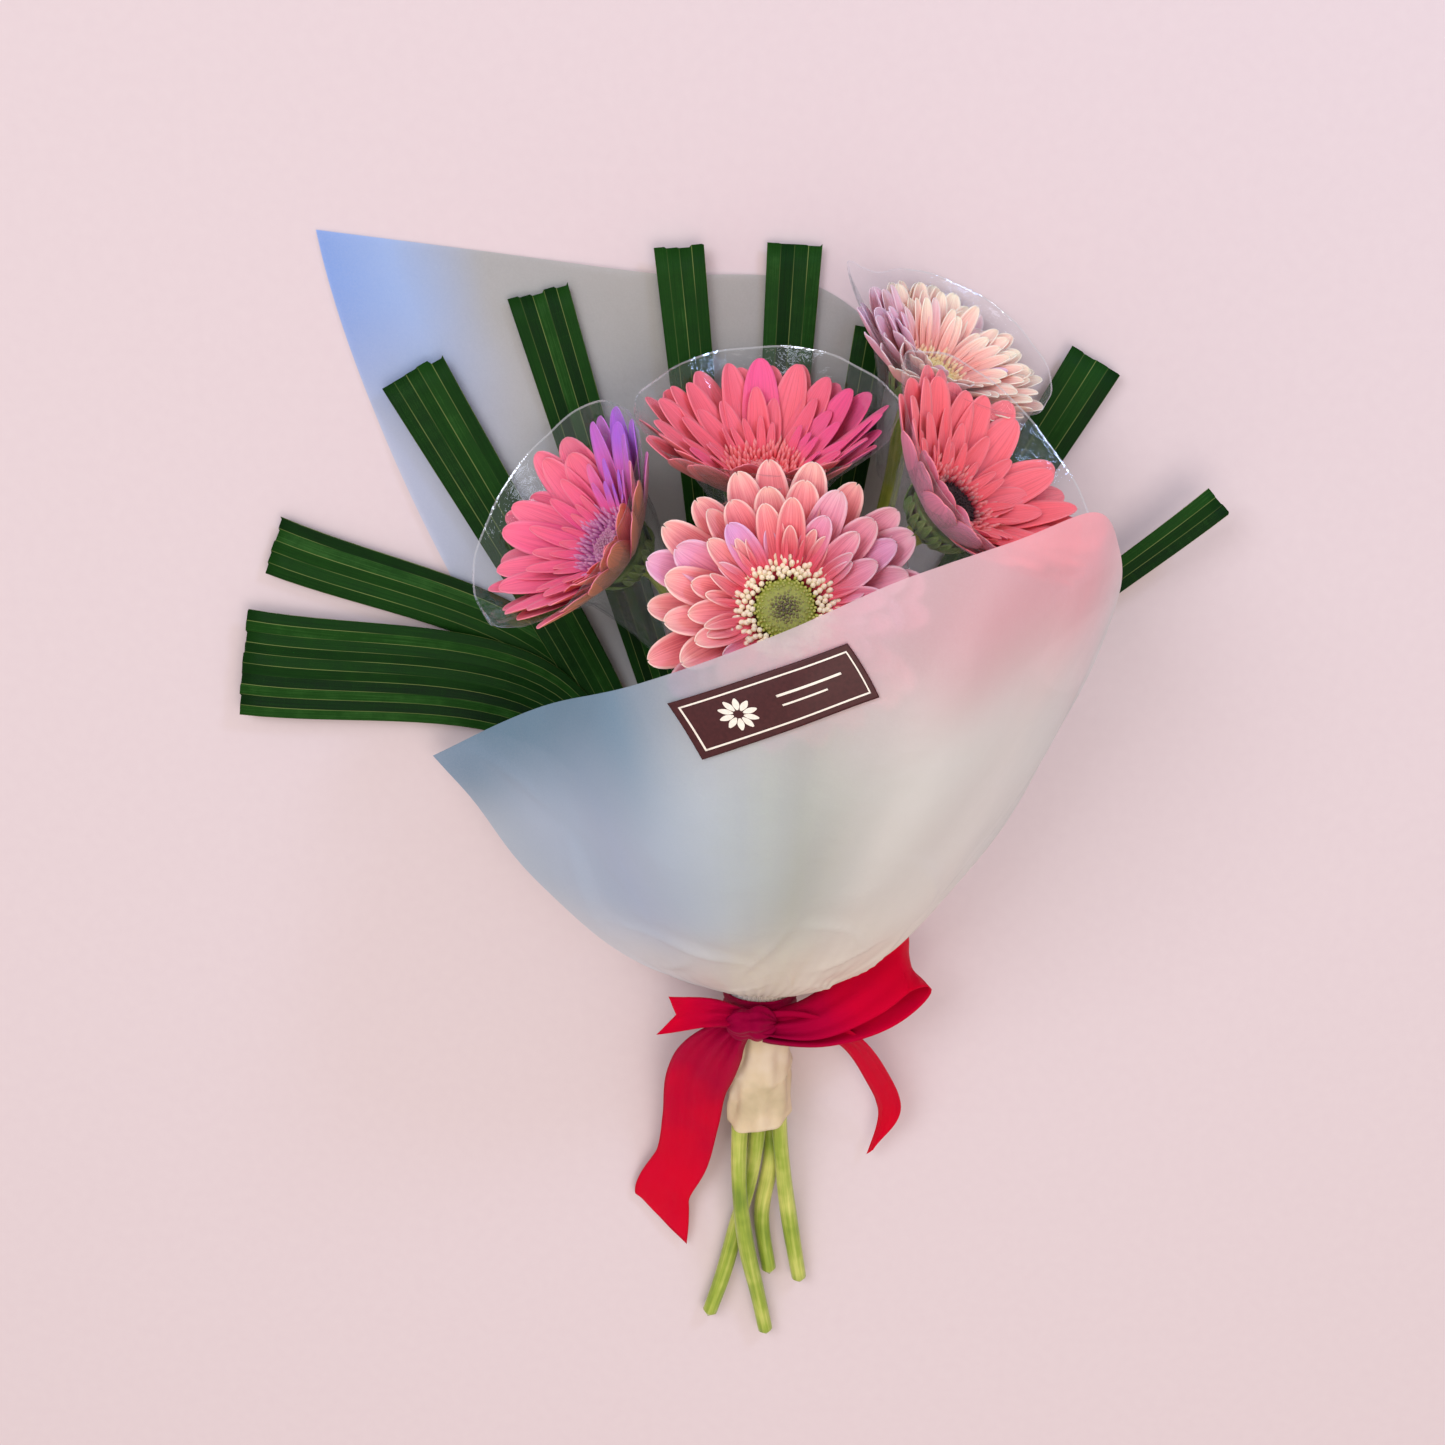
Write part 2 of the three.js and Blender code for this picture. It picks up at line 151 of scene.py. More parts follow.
def mark(material, name):
    """A value that the mesh stores at its points."""
    return add_node(material, "Attribute", attribute_name=name).outputs["Fac"]


def finish(name, **principled):
    """A material whose Principled shader gets these constant values, by socket name with _ for spaces."""
    material = bpy.data.materials.new(name)
    material.use_nodes = True
    shader = material.node_tree.nodes["Principled BSDF"]
    for key, value in principled.items():
        shader.inputs[key.replace("_", " ")].default_value = value
    return material


def feed(material, **sockets):
    """Links sockets to the Principled shader, by socket name with _ for spaces."""
    shader = material.node_tree.nodes["Principled BSDF"]
    for key, value in sockets.items():
        material.node_tree.links.new(value, shader.inputs[key.replace("_", " ")])


def relief(material, height, depth, strength=1.0):
    """Fine surface relief from a height: a Bump node, depth in metres, linked to the Principled shader."""
    feed(material, Normal=add_node(material, "Bump", {"Height": height, "Distance": depth,
                                                      "Strength": strength}).outputs[0])


def places(material, kind="Object"):
    """The vector that patterns are read at: Object coordinates in metres, or the piece's own UV map."""
    return add_node(material, "TexCoord").outputs[kind]


# %% Floor, sky and lamps
def paper_floor():
    """Pale pink paper with a very faint fibre pattern."""
    material = finish("pale_floor", Roughness=0.9, Specular_IOR_Level=0.1)
    fibre = noise(material, places(material), 220, 3)
    feed(material, Base_Color=ramp(material, fibre, [(0.0, "#d6c5c7"), (1.0, "#dacacb")]))
    return material


FLOOR_DROP = 0.0006
bpy.ops.mesh.primitive_plane_add(size=6, location=(0, 0, -FLOOR_DROP))
floor = bpy.context.object
floor.name = "floor"
floor.data.materials.append(paper_floor())

sky = bpy.data.worlds.new("studio")
sky.use_nodes = True
sky.node_tree.nodes["Background"].inputs["Color"].default_value = linear("#fff6f4")
sky.node_tree.nodes["Background"].inputs["Strength"].default_value = 0.62
bpy.context.scene.world = sky
bpy.context.scene.view_settings.view_transform = "Standard"


def soft_lamp(name, place, size, power, painted_sky_share):
    """A square lamp that faces the middle of the bunch. Power is in watts."""
    lamp = bpy.data.lights.new(name, "AREA")
    lamp.energy, lamp.size, lamp.color = power, size, linear(painted_sky_share)[:3]
    holder = bpy.data.objects.new(name, lamp)
    holder.location = place
    holder.rotation_euler = (-holder.location).to_track_quat("-Z", "Y").to_euler()
    bpy.context.scene.collection.objects.link(holder)


soft_lamp("window", (-0.9, 0.9, 1.6), 1.0, 15, "#f2f6ff")
soft_lamp("ceiling", (0.45, -0.45, 2.1), 1.6, 18, "#fff4ea")
soft_lamp("strip", (0.7, 0.9, 0.7), 0.2, 3.5, "#b8d2ff")

# %% [markdown]
# ## Curves and surfaces
# Every new piece is a surface over two parameters. A curve through a few chosen points gives a spine,
# and whole arrays of points are worked out at once. One function turns a grid of points, or many grids
# at the same time, into a mesh, with a UV map and any values that its material reads.


# %% Curve helpers
def along(points, t):
    """Points on a smooth curve through the given ones: a centripetal Catmull-Rom spline, where t runs
    evenly from one point to the next. Each stretch is a cubic with tangents from the points' spacing."""
    p = np.asarray(points, float)
    p = np.vstack([2 * p[0] - p[1], p, 2 * p[-1] - p[-2]])
    t = np.asarray(t, float) * (len(p) - 3)
    i = np.clip(t.astype(int), 0, len(p) - 4)
    w = (t - i)[..., None]
    a, b, c, d = (p[i + k] for k in range(4))
    ab, bc, cd = (np.maximum(np.linalg.norm(q - r, axis=-1, keepdims=True), 1e-8) ** 0.5
                  for q, r in ((a, b), (b, c), (c, d)))
    start = ((b - a) / ab - (c - a) / (ab + bc) + (c - b) / bc) * bc
    end = ((c - b) / bc - (d - b) / (bc + cd) + (d - c) / cd) * bc
    return b + start * w + (3 * (c - b) - 2 * start - end) * w ** 2 + (2 * (b - c) + start + end) * w ** 3


def evenly(points, count):
    """count points on the smooth curve, at equal distances along it."""
    fine = along(points, np.linspace(0, 1, 400))
    travelled = np.append(0, np.cumsum(np.linalg.norm(np.diff(fine, axis=0), axis=1)))
    at = np.linspace(0, travelled[-1], count)
    return np.stack([np.interp(at, travelled, fine[:, k]) for k in range(3)], axis=1)


def unit(vectors):
    """Vectors divided by their lengths."""
    return vectors / np.maximum(np.linalg.norm(vectors, axis=-1, keepdims=True), 1e-9)


def smooth_step(x, start, end):
    """0 before start, 1 after end: 3x^2 - 2x^3 between."""
    x = np.clip((np.asarray(x, float) - start) / (end - start), 0, 1)
    return x * x * (3 - 2 * x)


def facing_frame(axis):
    """Three unit vectors at right angles: two across the axis, and the axis."""
    axis = unit(np.asarray(axis, float))
    first = unit(np.cross([0.0, 0.0, 1.0], axis) if abs(axis[2]) < 0.99 else np.array([1.0, 0, 0]))
    return first, np.cross(axis, first), axis


# %% From grids of points to a mesh
def piece(name, grids, material, nodes=(), thick=0.0, closed=False, lining=None, uv_size=(1, 1),
          marks=None, grow=0.0):
    """A mesh from grids of points, an array (..., rows, columns, 3) in millimetres from the tie. Faces
    look along row direction x column direction. closed welds seams and poles and turns faces outwards.
    thick adds a wall with Solidify, whose inner side may have a lining material. marks are values per
    point, stored for the material. uv_size scales the UV map, columns first."""
    grids = np.asarray(grids, float)
    rows, columns = grids.shape[-3:-1]
    grids = grids.reshape(-1, rows, columns, 3)
    number = np.arange(len(grids) * rows * columns).reshape(-1, rows, columns)
    faces = np.stack([number[:, :-1, :-1], number[:, 1:, :-1], number[:, 1:, 1:], number[:, :-1, 1:]], -1)
    mesh = bpy.data.meshes.new(name)
    mesh.from_pydata(from_tie(grids.reshape(-1, 3)).tolist(), [], faces.reshape(-1, 4).tolist())
    v, u = np.meshgrid(np.linspace(0, uv_size[1], rows), np.linspace(0, uv_size[0], columns), indexing="ij")
    uv = np.broadcast_to(np.stack([u, v], -1), grids.shape[:3] + (2,)).reshape(-1, 2)
    mesh.uv_layers.new(name="UVMap").data.foreach_set("uv", uv[faces.reshape(-1)].ravel().astype(np.float32))
    for key, value in (marks or {}).items():
        value = np.broadcast_to(value, grids.shape[:3]).ravel().astype(np.float32)
        mesh.attributes.new(key, "FLOAT", "POINT").data.foreach_set("value", value)
    if closed:
        shape = bmesh.new()
        shape.from_mesh(mesh)
        bmesh.ops.remove_doubles(shape, verts=shape.verts, dist=2e-6)
        bmesh.ops.dissolve_degenerate(shape, edges=shape.edges, dist=1e-7)
        bmesh.ops.recalc_face_normals(shape, faces=shape.faces)
        shape.to_mesh(mesh)
        shape.free()
    mesh.shade_smooth()
    made = bpy.data.objects.new(name, mesh)
    bpy.context.scene.collection.objects.link(made)
    mesh.materials.append(material)
    if thick:
        wall = made.modifiers.new("wall", "SOLIDIFY")
        wall.thickness, wall.offset = thick * MM, grow
        if lining:
            mesh.materials.append(lining)
            wall.material_offset = 1
    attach(made, "root")
    if nodes:
        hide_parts(*nodes)
    print(name, len(mesh.polygons), "faces")
    return made


def tube(centres, radii, sides):
    """A round bar along a line of points: centre + radius (side cos a + up sin a), where side and up are at
    right angles to the line, which never runs along X. Ends close on the centre."""
    centres, radii = np.asarray(centres, float), np.broadcast_to(radii, len(centres))
    ahead = unit(np.gradient(centres, axis=0))
    up = unit(np.cross(ahead, (1.0, 0.0, 0.0)))
    side = np.cross(up, ahead)
    a = np.linspace(0, 2 * np.pi, sides + 1)[None, :, None]
    return centres[:, None] + radii[:, None, None] * (side[:, None] * np.cos(a) + up[:, None] * np.sin(a))

# %% [markdown]
# ## The five flowers
# A gerbera head is a flat disc of tiny buds, a fringe of short florets round it, and several rings of long
# petals over a green calyx. It could be one petal copied many times, but real petals all differ a little,
# so each ring is worked out as one array with its own small changes of angle, length, lift and twist.

# %% Flower sizes
# faces: where the flower looks. base: where its sleeve closes on the stem. neck: the stem's place [x, z]
# in the tied part. foot: the stem's points below the tie, cut end last. sleeve: rim radius, rim height
# and waist height. corner: the angle round the rim, in degrees, and the reach of its folded corner.
FLOWERS = {
    "front": dict(faces=(0, 0.342, 0.94), base=(5, 135, 46), neck=(0, 17.5), sleeve=(41, 1.2, -15),
                  corner=(200, 3), disc=(10.6, 4.2),
                  foot=[(-3, -85, 10.5), (-9, -113, 4.4), (-15, -138, 3.8), (-22, -160, 3.8)]),
    "top": dict(faces=(0, 0.927, 0.375), base=(0, 165, 24), neck=(-4.2, 11.2), sleeve=(47, 28, -4),
                corner=(180, 2), disc=(9.5, 3.5), foot=[(-6, -64, 10), (-9, -78, 8)]),
    "right": dict(faces=(0.647, 0.639, 0.414), base=(34, 165, 56), neck=(8, 20), sleeve=(46, 24, -4),
                  corner=(0, 5), disc=(9.5, 3.5), foot=[(10.5, -84, 13), (13.5, -110, 7.5), (18.5, -143, 3.8)]),
    "back": dict(faces=(0.441, 0.798, 0.411), base=(50, 215, 17), neck=(4.2, 11.2), sleeve=(40, 18, -4),
                 corner=(0, 9), disc=(8.5, 3.5), foot=[(5.2, -80, 7.5), (1.5, -109, 4.4), (5.2, -139, 3.8)]),
    "left": dict(faces=(-0.72, 0.528, 0.445), base=(-22, 140, 30), neck=(-8, 20), sleeve=(46, 27, -4),
                 corner=(150, 5), disc=(9.5, 3.5),
                 foot=[(-8.5, -85, 18.5), (-5.5, -118, 12.4), (0, -148, 5.5), (4, -169, 3.8)]),
}
DISC_LIFT = 0.5  # the middle of a disc's box is about this far above the head's middle
chance = np.random.default_rng(11)
for name, flower in FLOWERS.items():
    flower["across"], flower["up"], flower["axis"] = facing_frame(flower["faces"])
    flower["head"] = middle_of(f"{name}_disc") - DISC_LIFT * flower["axis"]
    print(name, "head", flower["head"].round(1))


# %% Points round a flower
def round_head(flower, angle, radius, height, aside=0.0):
    """Points by a flower's axis: head + radius x outward + aside x sideways + height x axis."""
    out = np.cos(angle)[..., None] * flower["across"] + np.sin(angle)[..., None] * flower["up"]
    sideways = np.cross(flower["axis"], out)
    return (flower["head"] + np.asarray(radius)[..., None] * out + np.asarray(aside)[..., None] * sideways
            + np.asarray(height)[..., None] * flower["axis"])


# How much petals differ within a ring: length, lift, sideways bow, twist and width.
PETAL_SPREADS = (0.045, 1.0, 1.0, 0.11, 0.07)


def petal_ring(flower, count, width, root, bend, tip, turn=0.0, point=5.0, cup=0.12, wild=1.0, notch=0.0):
    """A ring of petals. Each spine is a quadratic curve through root, bend and tip, given as (radius,
    height). Across it, half width = width / 2 x (0.42 + 0.58 sin of the way to the belly) x the square root
    of 1 - v^point, which closes in a rounded tip. The sides curl up by cup, and two grooves run along it."""
    angle = 2 * np.pi * (np.arange(count) + turn + chance.normal(0, 0.16 * wild, count)) / count
    v = np.sin(np.linspace(0, 1, 14) * np.pi / 2)[None, :, None]
    u = np.linspace(-1, 1, 9)[None, None, :]
    length, lift, bow, twist, size = (1 + chance.normal(0, spread * wild, (count, 1, 1))
                                      for spread in PETAL_SPREADS)
    lift = lift - 1 + 0.9 * (np.arange(count) % 2)[:, None, None]
    reach = v * (1 - notch * chance.random((count, 1, 1)) * np.exp(-(u / 0.28) ** 2) * v ** 9)
    radius, height = (((1 - reach) ** 2 * a + 2 * reach * (1 - reach) * b + reach ** 2 * (a + (c - a) * length))
                      for a, b, c in zip(root, bend, tip))
    height = height + lift * v ** 1.5
    half = width / 2 * size * (0.42 + 0.58 * np.sin(np.clip(v / 0.62, 0, 1) * np.pi / 2))
    half = half * np.sqrt(np.clip(1 - v ** point, 0.004, 1))
    groove = -0.28 * np.exp(-((np.abs(u) - 0.42) / 0.16) ** 2) * np.sin(np.pi * np.clip(v, 0, 1)) ** 0.5
    roll = (twist - 1) * v * 2
    rise = half * (cup * u ** 2 * 2 + roll * u) + groove
    slope = np.arctan2(tip[1] - root[1], tip[0] - root[0])
    radius, height = radius - rise * np.sin(slope), height + rise * np.cos(slope)
    aside = half * u * np.cos(roll) + (bow - 1) * 0.9 * v ** 2
    angle = np.broadcast_to(angle[:, None, None], radius.shape)
    return round_head(flower, angle, radius, height, aside), angle[:, :1, :1]


def studs(flower, count, inner, outer, dome, length, width, lean, flare=0.7):
    """Small buds set by the golden angle, as on a real disc: the radius grows with the square root of the
    number. Each is a capsule, radius = width / 2 x (1 - (2t - 1)^2)^flare, that leans out by lean degrees.
    dome gives the height of the surface below, at the inner and the outer radius."""
    k = (np.arange(count) + 0.5) / count
    radius = np.sqrt(inner ** 2 + k * (outer ** 2 - inner ** 2))
    angle = np.arange(count) * np.pi * (3 - np.sqrt(5)) + chance.normal(0, 0.04, count)
    height = dome[0] + (dome[1] - dome[0]) * ((radius - inner) / (outer - inner)) ** 2
    tip = np.radians(lean[0] + (lean[1] - lean[0]) * k + chance.normal(0, 7, count))[:, None]
    out = np.cos(angle)[:, None] * flower["across"] + np.sin(angle)[:, None] * flower["up"]
    ahead = unit(np.sin(tip) * out + np.cos(tip) * flower["axis"])
    side = unit(np.cross(flower["axis"], out))
    other = np.cross(ahead, side)
    foot = flower["head"] + radius[:, None] * out + height[:, None] * flower["axis"]
    t, a = np.linspace(0, 1, 6)[:, None, None], np.linspace(0, 2 * np.pi, 7)[None, :, None]
    size = (length[0] + (length[1] - length[0]) * k) * (1 + chance.normal(0, 0.10, count))
    thick = width / 2 * (1 - (2 * t - 1) ** 2) ** flare
    foot, ahead, side, other = (x[:, None, None] for x in (foot, ahead, side, other))
    points = foot + ahead * t * size[:, None, None, None] + thick * (side * np.cos(a) + other * np.sin(a))
    return points, k[:, None, None]


def turned(flower, profile, sides=48):
    """A shape turned on a flower's axis from a profile of (radius, height) points."""
    profile = np.asarray(profile, float)
    angle = np.linspace(0, 2 * np.pi, sides + 1)[None, :]
    return round_head(flower, np.broadcast_to(angle, (len(profile), sides + 1)), profile[:, :1] + 0 * angle,
                      profile[:, 1:] + 0 * angle)


# %% [markdown]
# ## Petal finish
# A petal is velvety, a little see-through, deeper in colour at its root and paler at its tip, with fine
# veins along it. The colour follows the petal's own UV map, so the veins run with each petal. Every
# petal also carries a tone, so that neighbours differ, and a share of painted lilac, a painted reflection of blue sky
# light.


# %% Petal materials
def petal_finish(name, stops, edge, painted_sky_lilac="#b98be8", edge_share=0.5):
    """Colour along the petal from root to tip, broken by streaks, with paler edges, and chosen petals turned purple
    by a painted reflection of blue sky light.
    """
    material = finish(name, Roughness=0.5, Specular_IOR_Level=0.3, Subsurface_Weight=0.15,
                      Subsurface_Radius=(1.0, 0.4, 0.3), Subsurface_Scale=0.002, Sheen_Weight=0.12,
                      Sheen_Roughness=0.5)
    uv = places(material, "UV")
    u, v = add_node(material, "SeparateXYZ", {"Vector": uv}).outputs[:2]
    tone, painted_sky_share = mark(material, "tone"), mark(material, "painted_sky_share")
    streaks = add_node(material, "TexNoise", {"Vector": stretched(material, uv, (16, 0.9, 1)), "W":
                       sum_of(material, "MULTIPLY", tone, 40), "Scale": 1.6, "Detail": 3},
                       noise_dimensions="4D").outputs[0]
    place = sum_of(material, "ADD", v, sum_of(material, "MULTIPLY_ADD", streaks, 0.5, -0.25))
    place = sum_of(material, "ADD", place, sum_of(material, "MULTIPLY_ADD", tone, 0.24, -0.12), clamp=True)
    colour = ramp(material, place, stops)
    from_middle = sum_of(material, "ABSOLUTE", sum_of(material, "MULTIPLY_ADD", u, 2, -1))
    rim = sum_of(material, "MAXIMUM", sum_of(material, "MULTIPLY", step(material, from_middle, 0.7, 1.0),
                 step(material, v, 0.3, 0.8)), step(material, v, 0.93, 1.0))
    colour = blend(material, sum_of(material, "MULTIPLY", rim, edge_share), colour, edge)
    # painted reflection of blue sky light: the stored share turns chosen petals lilac
    colour = blend(material, sum_of(material, "MULTIPLY", painted_sky_share, step(material, v, 0.1, 0.7)), colour, painted_sky_lilac)
    dark = sum_of(material, "MULTIPLY_ADD", step(material, streaks, 0.30, 0.62), 0.16, 0.87)
    shade = add_node(material, "HueSaturation", {"Value": dark, "Color": colour, "Saturation": 1.04}).outputs[0]
    feed(material, Base_Color=shade)
    relief(material, streaks, 0.0004, 0.6)
    return material


# After each ramp come the paler edge colour, the painted lilac of reflected blue sky light, and the edge's share.
PETALS = {
    "front": petal_finish("rose_petal", [(0.0, "#de4458"), (0.28, "#ee707c"), (0.66, "#f6999c"),
                                         (0.98, "#fac4b8")], "#fdeadc", "#d8a6e4", 0.55),
    "top": petal_finish("coral_petal", [(0.0, "#ff5a6c"), (0.35, "#ff7684"), (1.0, "#ff8496")], "#ffa6b0",
                        "#fb5fa4", 0.35),
    "right": petal_finish("warm_coral_petal", [(0.0, "#fb5666"), (0.35, "#ff747c"), (1.0, "#ff868f")],
                          "#ffa8ae", "#c877c8", 0.35),
    "back": petal_finish("peach_petal", [(0.0, "#f58d86"), (0.35, "#fbb3a8"), (0.65, "#fdd0c2"),
                                         (1.0, "#fdf0d8")], "#fff8e6", "#dba8e4", 0.8),
    "left": petal_finish("magenta_petal", [(0.0, "#ee4f96"), (0.4, "#fd6e98"), (1.0, "#ff8599")], "#ffabbd",
                         "#bb78ee", 0.35),
}
# Undersides too: the fourth colour is the painted lilac of reflected blue sky light.
UNDERSIDES = {
    name: petal_finish(f"{name}_petal_underside", stops, edge, painted_sky_lilac, 0.3)
    for name, stops, edge, painted_sky_lilac in (
        ("front", [(0.0, "#b46a62"), (0.5, "#e09a98"), (1.0, "#eec2b8")], "#f6dacf", "#c39ad6"),
        ("top", [(0.0, "#8c5146"), (0.5, "#c86a64"), (1.0, "#ee808a")], "#f29aa0", "#b06ab4"),
        ("right", [(0.0, "#9a6478"), (0.5, "#c87894"), (1.0, "#e486a6")], "#eaa6c0", "#b48ad2"),
        ("back", [(0.0, "#cf988a"), (0.5, "#f3bcb0"), (1.0, "#fae2d0")], "#fdf0de", "#d0a4e0"),
        ("left", [(0.0, "#9a6448"), (0.5, "#c67a5c"), (1.0, "#dd8a66")], "#e8a688", "#ad82ce"),
    )
}
print(len(PETALS) + len(UNDERSIDES), "petal materials")

# %% [markdown]
# ## Rings of petals
# The front flower is a full double one: four rings, each shorter and more upright than the last. The
# three bright ones have long petals that stand up like a cup. The pale back one is packed with short
# petals. Roots sit on a small hub under the disc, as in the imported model.

# %% Make the petals
# Rings: count, width, root, bend, tip as (radius, height), tip roundness, cup, and notch.
RINGS = {
    "front": {
        "outer": [(21, 13.4, (11, -3.5), (30, -3), (49.5, 5.0), 7, 0.16, 0.05),
                  (20, 12.4, (11, -2.5), (27, 2), (42.5, 8.5), 7, 0.18, 0.05)],
        "inner": [(18, 9.6, (10.5, -0.8), (22, 5), (34.5, 11.5), 6, 0.22, 0.04),
                  (24, 5.2, (15, 0), (20, 5), (27.5, 9.5), 4, 0.25, 0.0)],
    },
    "top": {
        "outer": [(19, 16.0, (10.5, -3.8), (25, 3), (44, 23), 5.2, 0.10, 0.0),
                  (18, 14.0, (10.5, -2.6), (23, 5), (40, 25), 5.2, 0.12, 0.0)],
        "inner": [(17, 9.0, (10, -0.8), (18, 4), (31, 18), 4, 0.15, 0.0),
                  (22, 4.0, (9.5, 0), (14, 4), (21, 11.5), 3, 0.15, 0.0)],
    },
    "right": {
        "outer": [(19, 16.0, (10.5, -3.8), (25, 2), (44, 19.5), 5.2, 0.10, 0.0),
                  (18, 14.0, (10.5, -2.6), (23, 4), (40, 21), 5.2, 0.12, 0.0)],
        "inner": [(16, 9.0, (10, -0.8), (18, 3.5), (30, 13.5), 4, 0.15, 0.0),
                  (22, 4.0, (9.5, 0), (14, 4), (21, 10), 3, 0.15, 0.0)],
    },
    "back": {
        "outer": [(24, 10.6, (9, -3.8), (23, -1), (38.5, 12), 7, 0.16, 0.06),
                  (24, 9.6, (9, -2.6), (21, 3), (34.5, 14.5), 7, 0.18, 0.06)],
        "inner": [(24, 7.8, (9, -0.8), (17, 5), (29, 15.5), 6, 0.22, 0.05),
                  (24, 6.0, (8.5, 0), (14, 6), (23, 15), 5, 0.25, 0.04)],
    },
    "left": {
        "outer": [(18, 15.4, (10.5, -3.8), (25, 3), (43.5, 22), 5.2, 0.10, 0.0),
                  (16, 13.6, (10.5, -2.6), (23, 5), (39, 24), 5.2, 0.12, 0.0)],
        "inner": [(16, 7.0, (10, -0.8), (17, 5), (28, 17), 4, 0.15, 0.0),
                  (22, 4.0, (9.5, 0), (14, 4), (20, 11.5), 3, 0.15, 0.0)],
    },
}
PETAL_THICKNESS = 0.35
# Painted reflection of blue sky light that turns petals lilac: a direction, the share of petals along it, and a
# scatter over all of them.
PAINTED_SKY_LILAC = {"front": ((0.9, 0.1, 0), 0.3, 0.22), "top": ((1, 0.3, 0), 0.7, 0.05), "right": ((-0.8, -0.6, 0), 1, 0.0),
         "back": ((-1, 0, 0), 0.5, 0.1), "left": ((0.1, 1, 0.1), 1.0, 0.0)}


def make_petals(name, ring, layers):
    """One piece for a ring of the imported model, made of its layers of petals."""
    flower, grids, tones, painted_sky_shares = FLOWERS[name], [], [], []
    toward, share, scatter = PAINTED_SKY_LILAC[name]
    for layer, (count, width, root, bend, tip, point, cup, notch) in enumerate(layers):
        points, angle = petal_ring(flower, count, width, root, bend, tip, 0.5 * layer + 0.25 * (ring == "inner"),
                                   point, cup, 1.0, notch)
        out = np.cos(angle)[..., None] * flower["across"] + np.sin(angle)[..., None] * flower["up"]
        # painted sky reflection: petals that face the given direction turn lilac, and a few random ones too
        painted_sky_share = share * smooth_step(out @ unit(np.array(toward, float)), 0.55, 0.9)
        painted_sky_share = np.maximum(painted_sky_share, (chance.random(angle.shape) < scatter) * chance.uniform(0.2, 0.7, angle.shape))
        grids.append(points)
        painted_sky_shares.append(painted_sky_share + np.zeros(points.shape[:3]))
        tones.append(chance.random(angle.shape) + np.zeros(points.shape[:3]))
    return piece(f"{name}_flower_{ring}", np.concatenate(grids), PETALS[name],
                 [f"{name}_{ring}_petals"], PETAL_THICKNESS, lining=UNDERSIDES[name],
                 marks={"tone": np.concatenate(tones), "painted_sky_share": np.concatenate(painted_sky_shares)}, grow=-1)


for name, rings in RINGS.items():
    for ring, layers in rings.items():
        make_petals(name, ring, layers)

# %% [markdown]
# ## Discs and fringes
# The middle of a gerbera is hundreds of tiny closed buds. They follow the golden angle, as seeds in a
# sunflower do, so one formula sets them all. Round them stands a fringe of opened florets: ivory beads on
# the front flower, thin coral or lilac straps on the others.


# %% Bud and floret materials
def bud_finish(name, stops, glow=0.1, pale=0.25):
    """Colour by the bud's place between the middle and the edge, and paler towards its tip."""
    material = finish(name, Roughness=0.6, Specular_IOR_Level=0.2, Subsurface_Weight=glow,
                      Subsurface_Radius=(1.0, 0.6, 0.3), Subsurface_Scale=0.0015)
    v = add_node(material, "SeparateXYZ", {"Vector": places(material, "UV")}).outputs[1]
    grain = noise(material, places(material), 900, 3)
    place = sum_of(material, "ADD", mark(material, "reach"), sum_of(material, "MULTIPLY_ADD", grain, 0.5, -0.25))
    colour = ramp(material, place, stops)
    tip = sum_of(material, "MULTIPLY", step(material, v, 0.3, 1.0), pale)
    feed(material, Base_Color=blend(material, tip, colour, "#fff1e2"))
    relief(material, grain, 0.0002)
    return material


BUDS = {
    "front": bud_finish("green_buds", [(0.0, "#3a2a10"), (0.15, "#5f5a1a"), (0.45, "#87902a"),
                                       (1.0, "#b4b648")], pale=0.1),
    "top": bud_finish("coral_buds", [(0.0, "#c8404e"), (1.0, "#f26a76")]),
    "right": bud_finish("maroon_buds", [(0.0, "#16040c"), (0.7, "#260812"), (1.0, "#5a1426")],
                        glow=0.0, pale=0.02),
    "back": bud_finish("yellow_buds", [(0.0, "#d8c463"), (0.6, "#e6cf74"), (1.0, "#f2c08e")]),
    "left": bud_finish("lilac_buds", [(0.0, "#94407c"), (1.0, "#cf62ad")]),
}
FRINGES = {
    "front": bud_finish("ivory_florets", [(0.0, "#f3e6c0"), (0.55, "#f5dcc0"), (1.0, "#f0a7a0")], glow=0.15),
    "top": bud_finish("coral_florets", [(0.0, "#f0505f"), (1.0, "#fb7a80")], glow=0.15),
    "right": bud_finish("fringe_florets", [(0.0, "#7d1e32"), (0.25, "#e2475a"), (1.0, "#fb7d82")], glow=0.15),
    "back": bud_finish("peach_florets", [(0.0, "#f6dfa0"), (0.5, "#fbb9a8"), (1.0, "#fcc9ba")], glow=0.15),
    "left": bud_finish("lilac_florets", [(0.0, "#b054a0"), (1.0, "#e06ab8")], glow=0.15),
}

# %% Make the discs
# Fringes: count, inner and outer radius, length at each, width, and lean at each in degrees.
FRINGE = {
    "front": (300, 10.9, 19.6, (3.0, 5.6), 2.1, (5, 62)),
    "top": (190, 6.0, 14.5, (4.5, 8.5), 1.5, (6, 30)),
    "right": (190, 8.0, 15.0, (4.0, 8.5), 1.5, (8, 38)),
    "back": (150, 7.6, 14.5, (4.0, 8.5), 1.5, (8, 36)),
    "left": (190, 6.0, 14.5, (4.5, 8.0), 1.5, (6, 34)),
}
BUD_SPACING = 1.28  # between buds, in millimetres

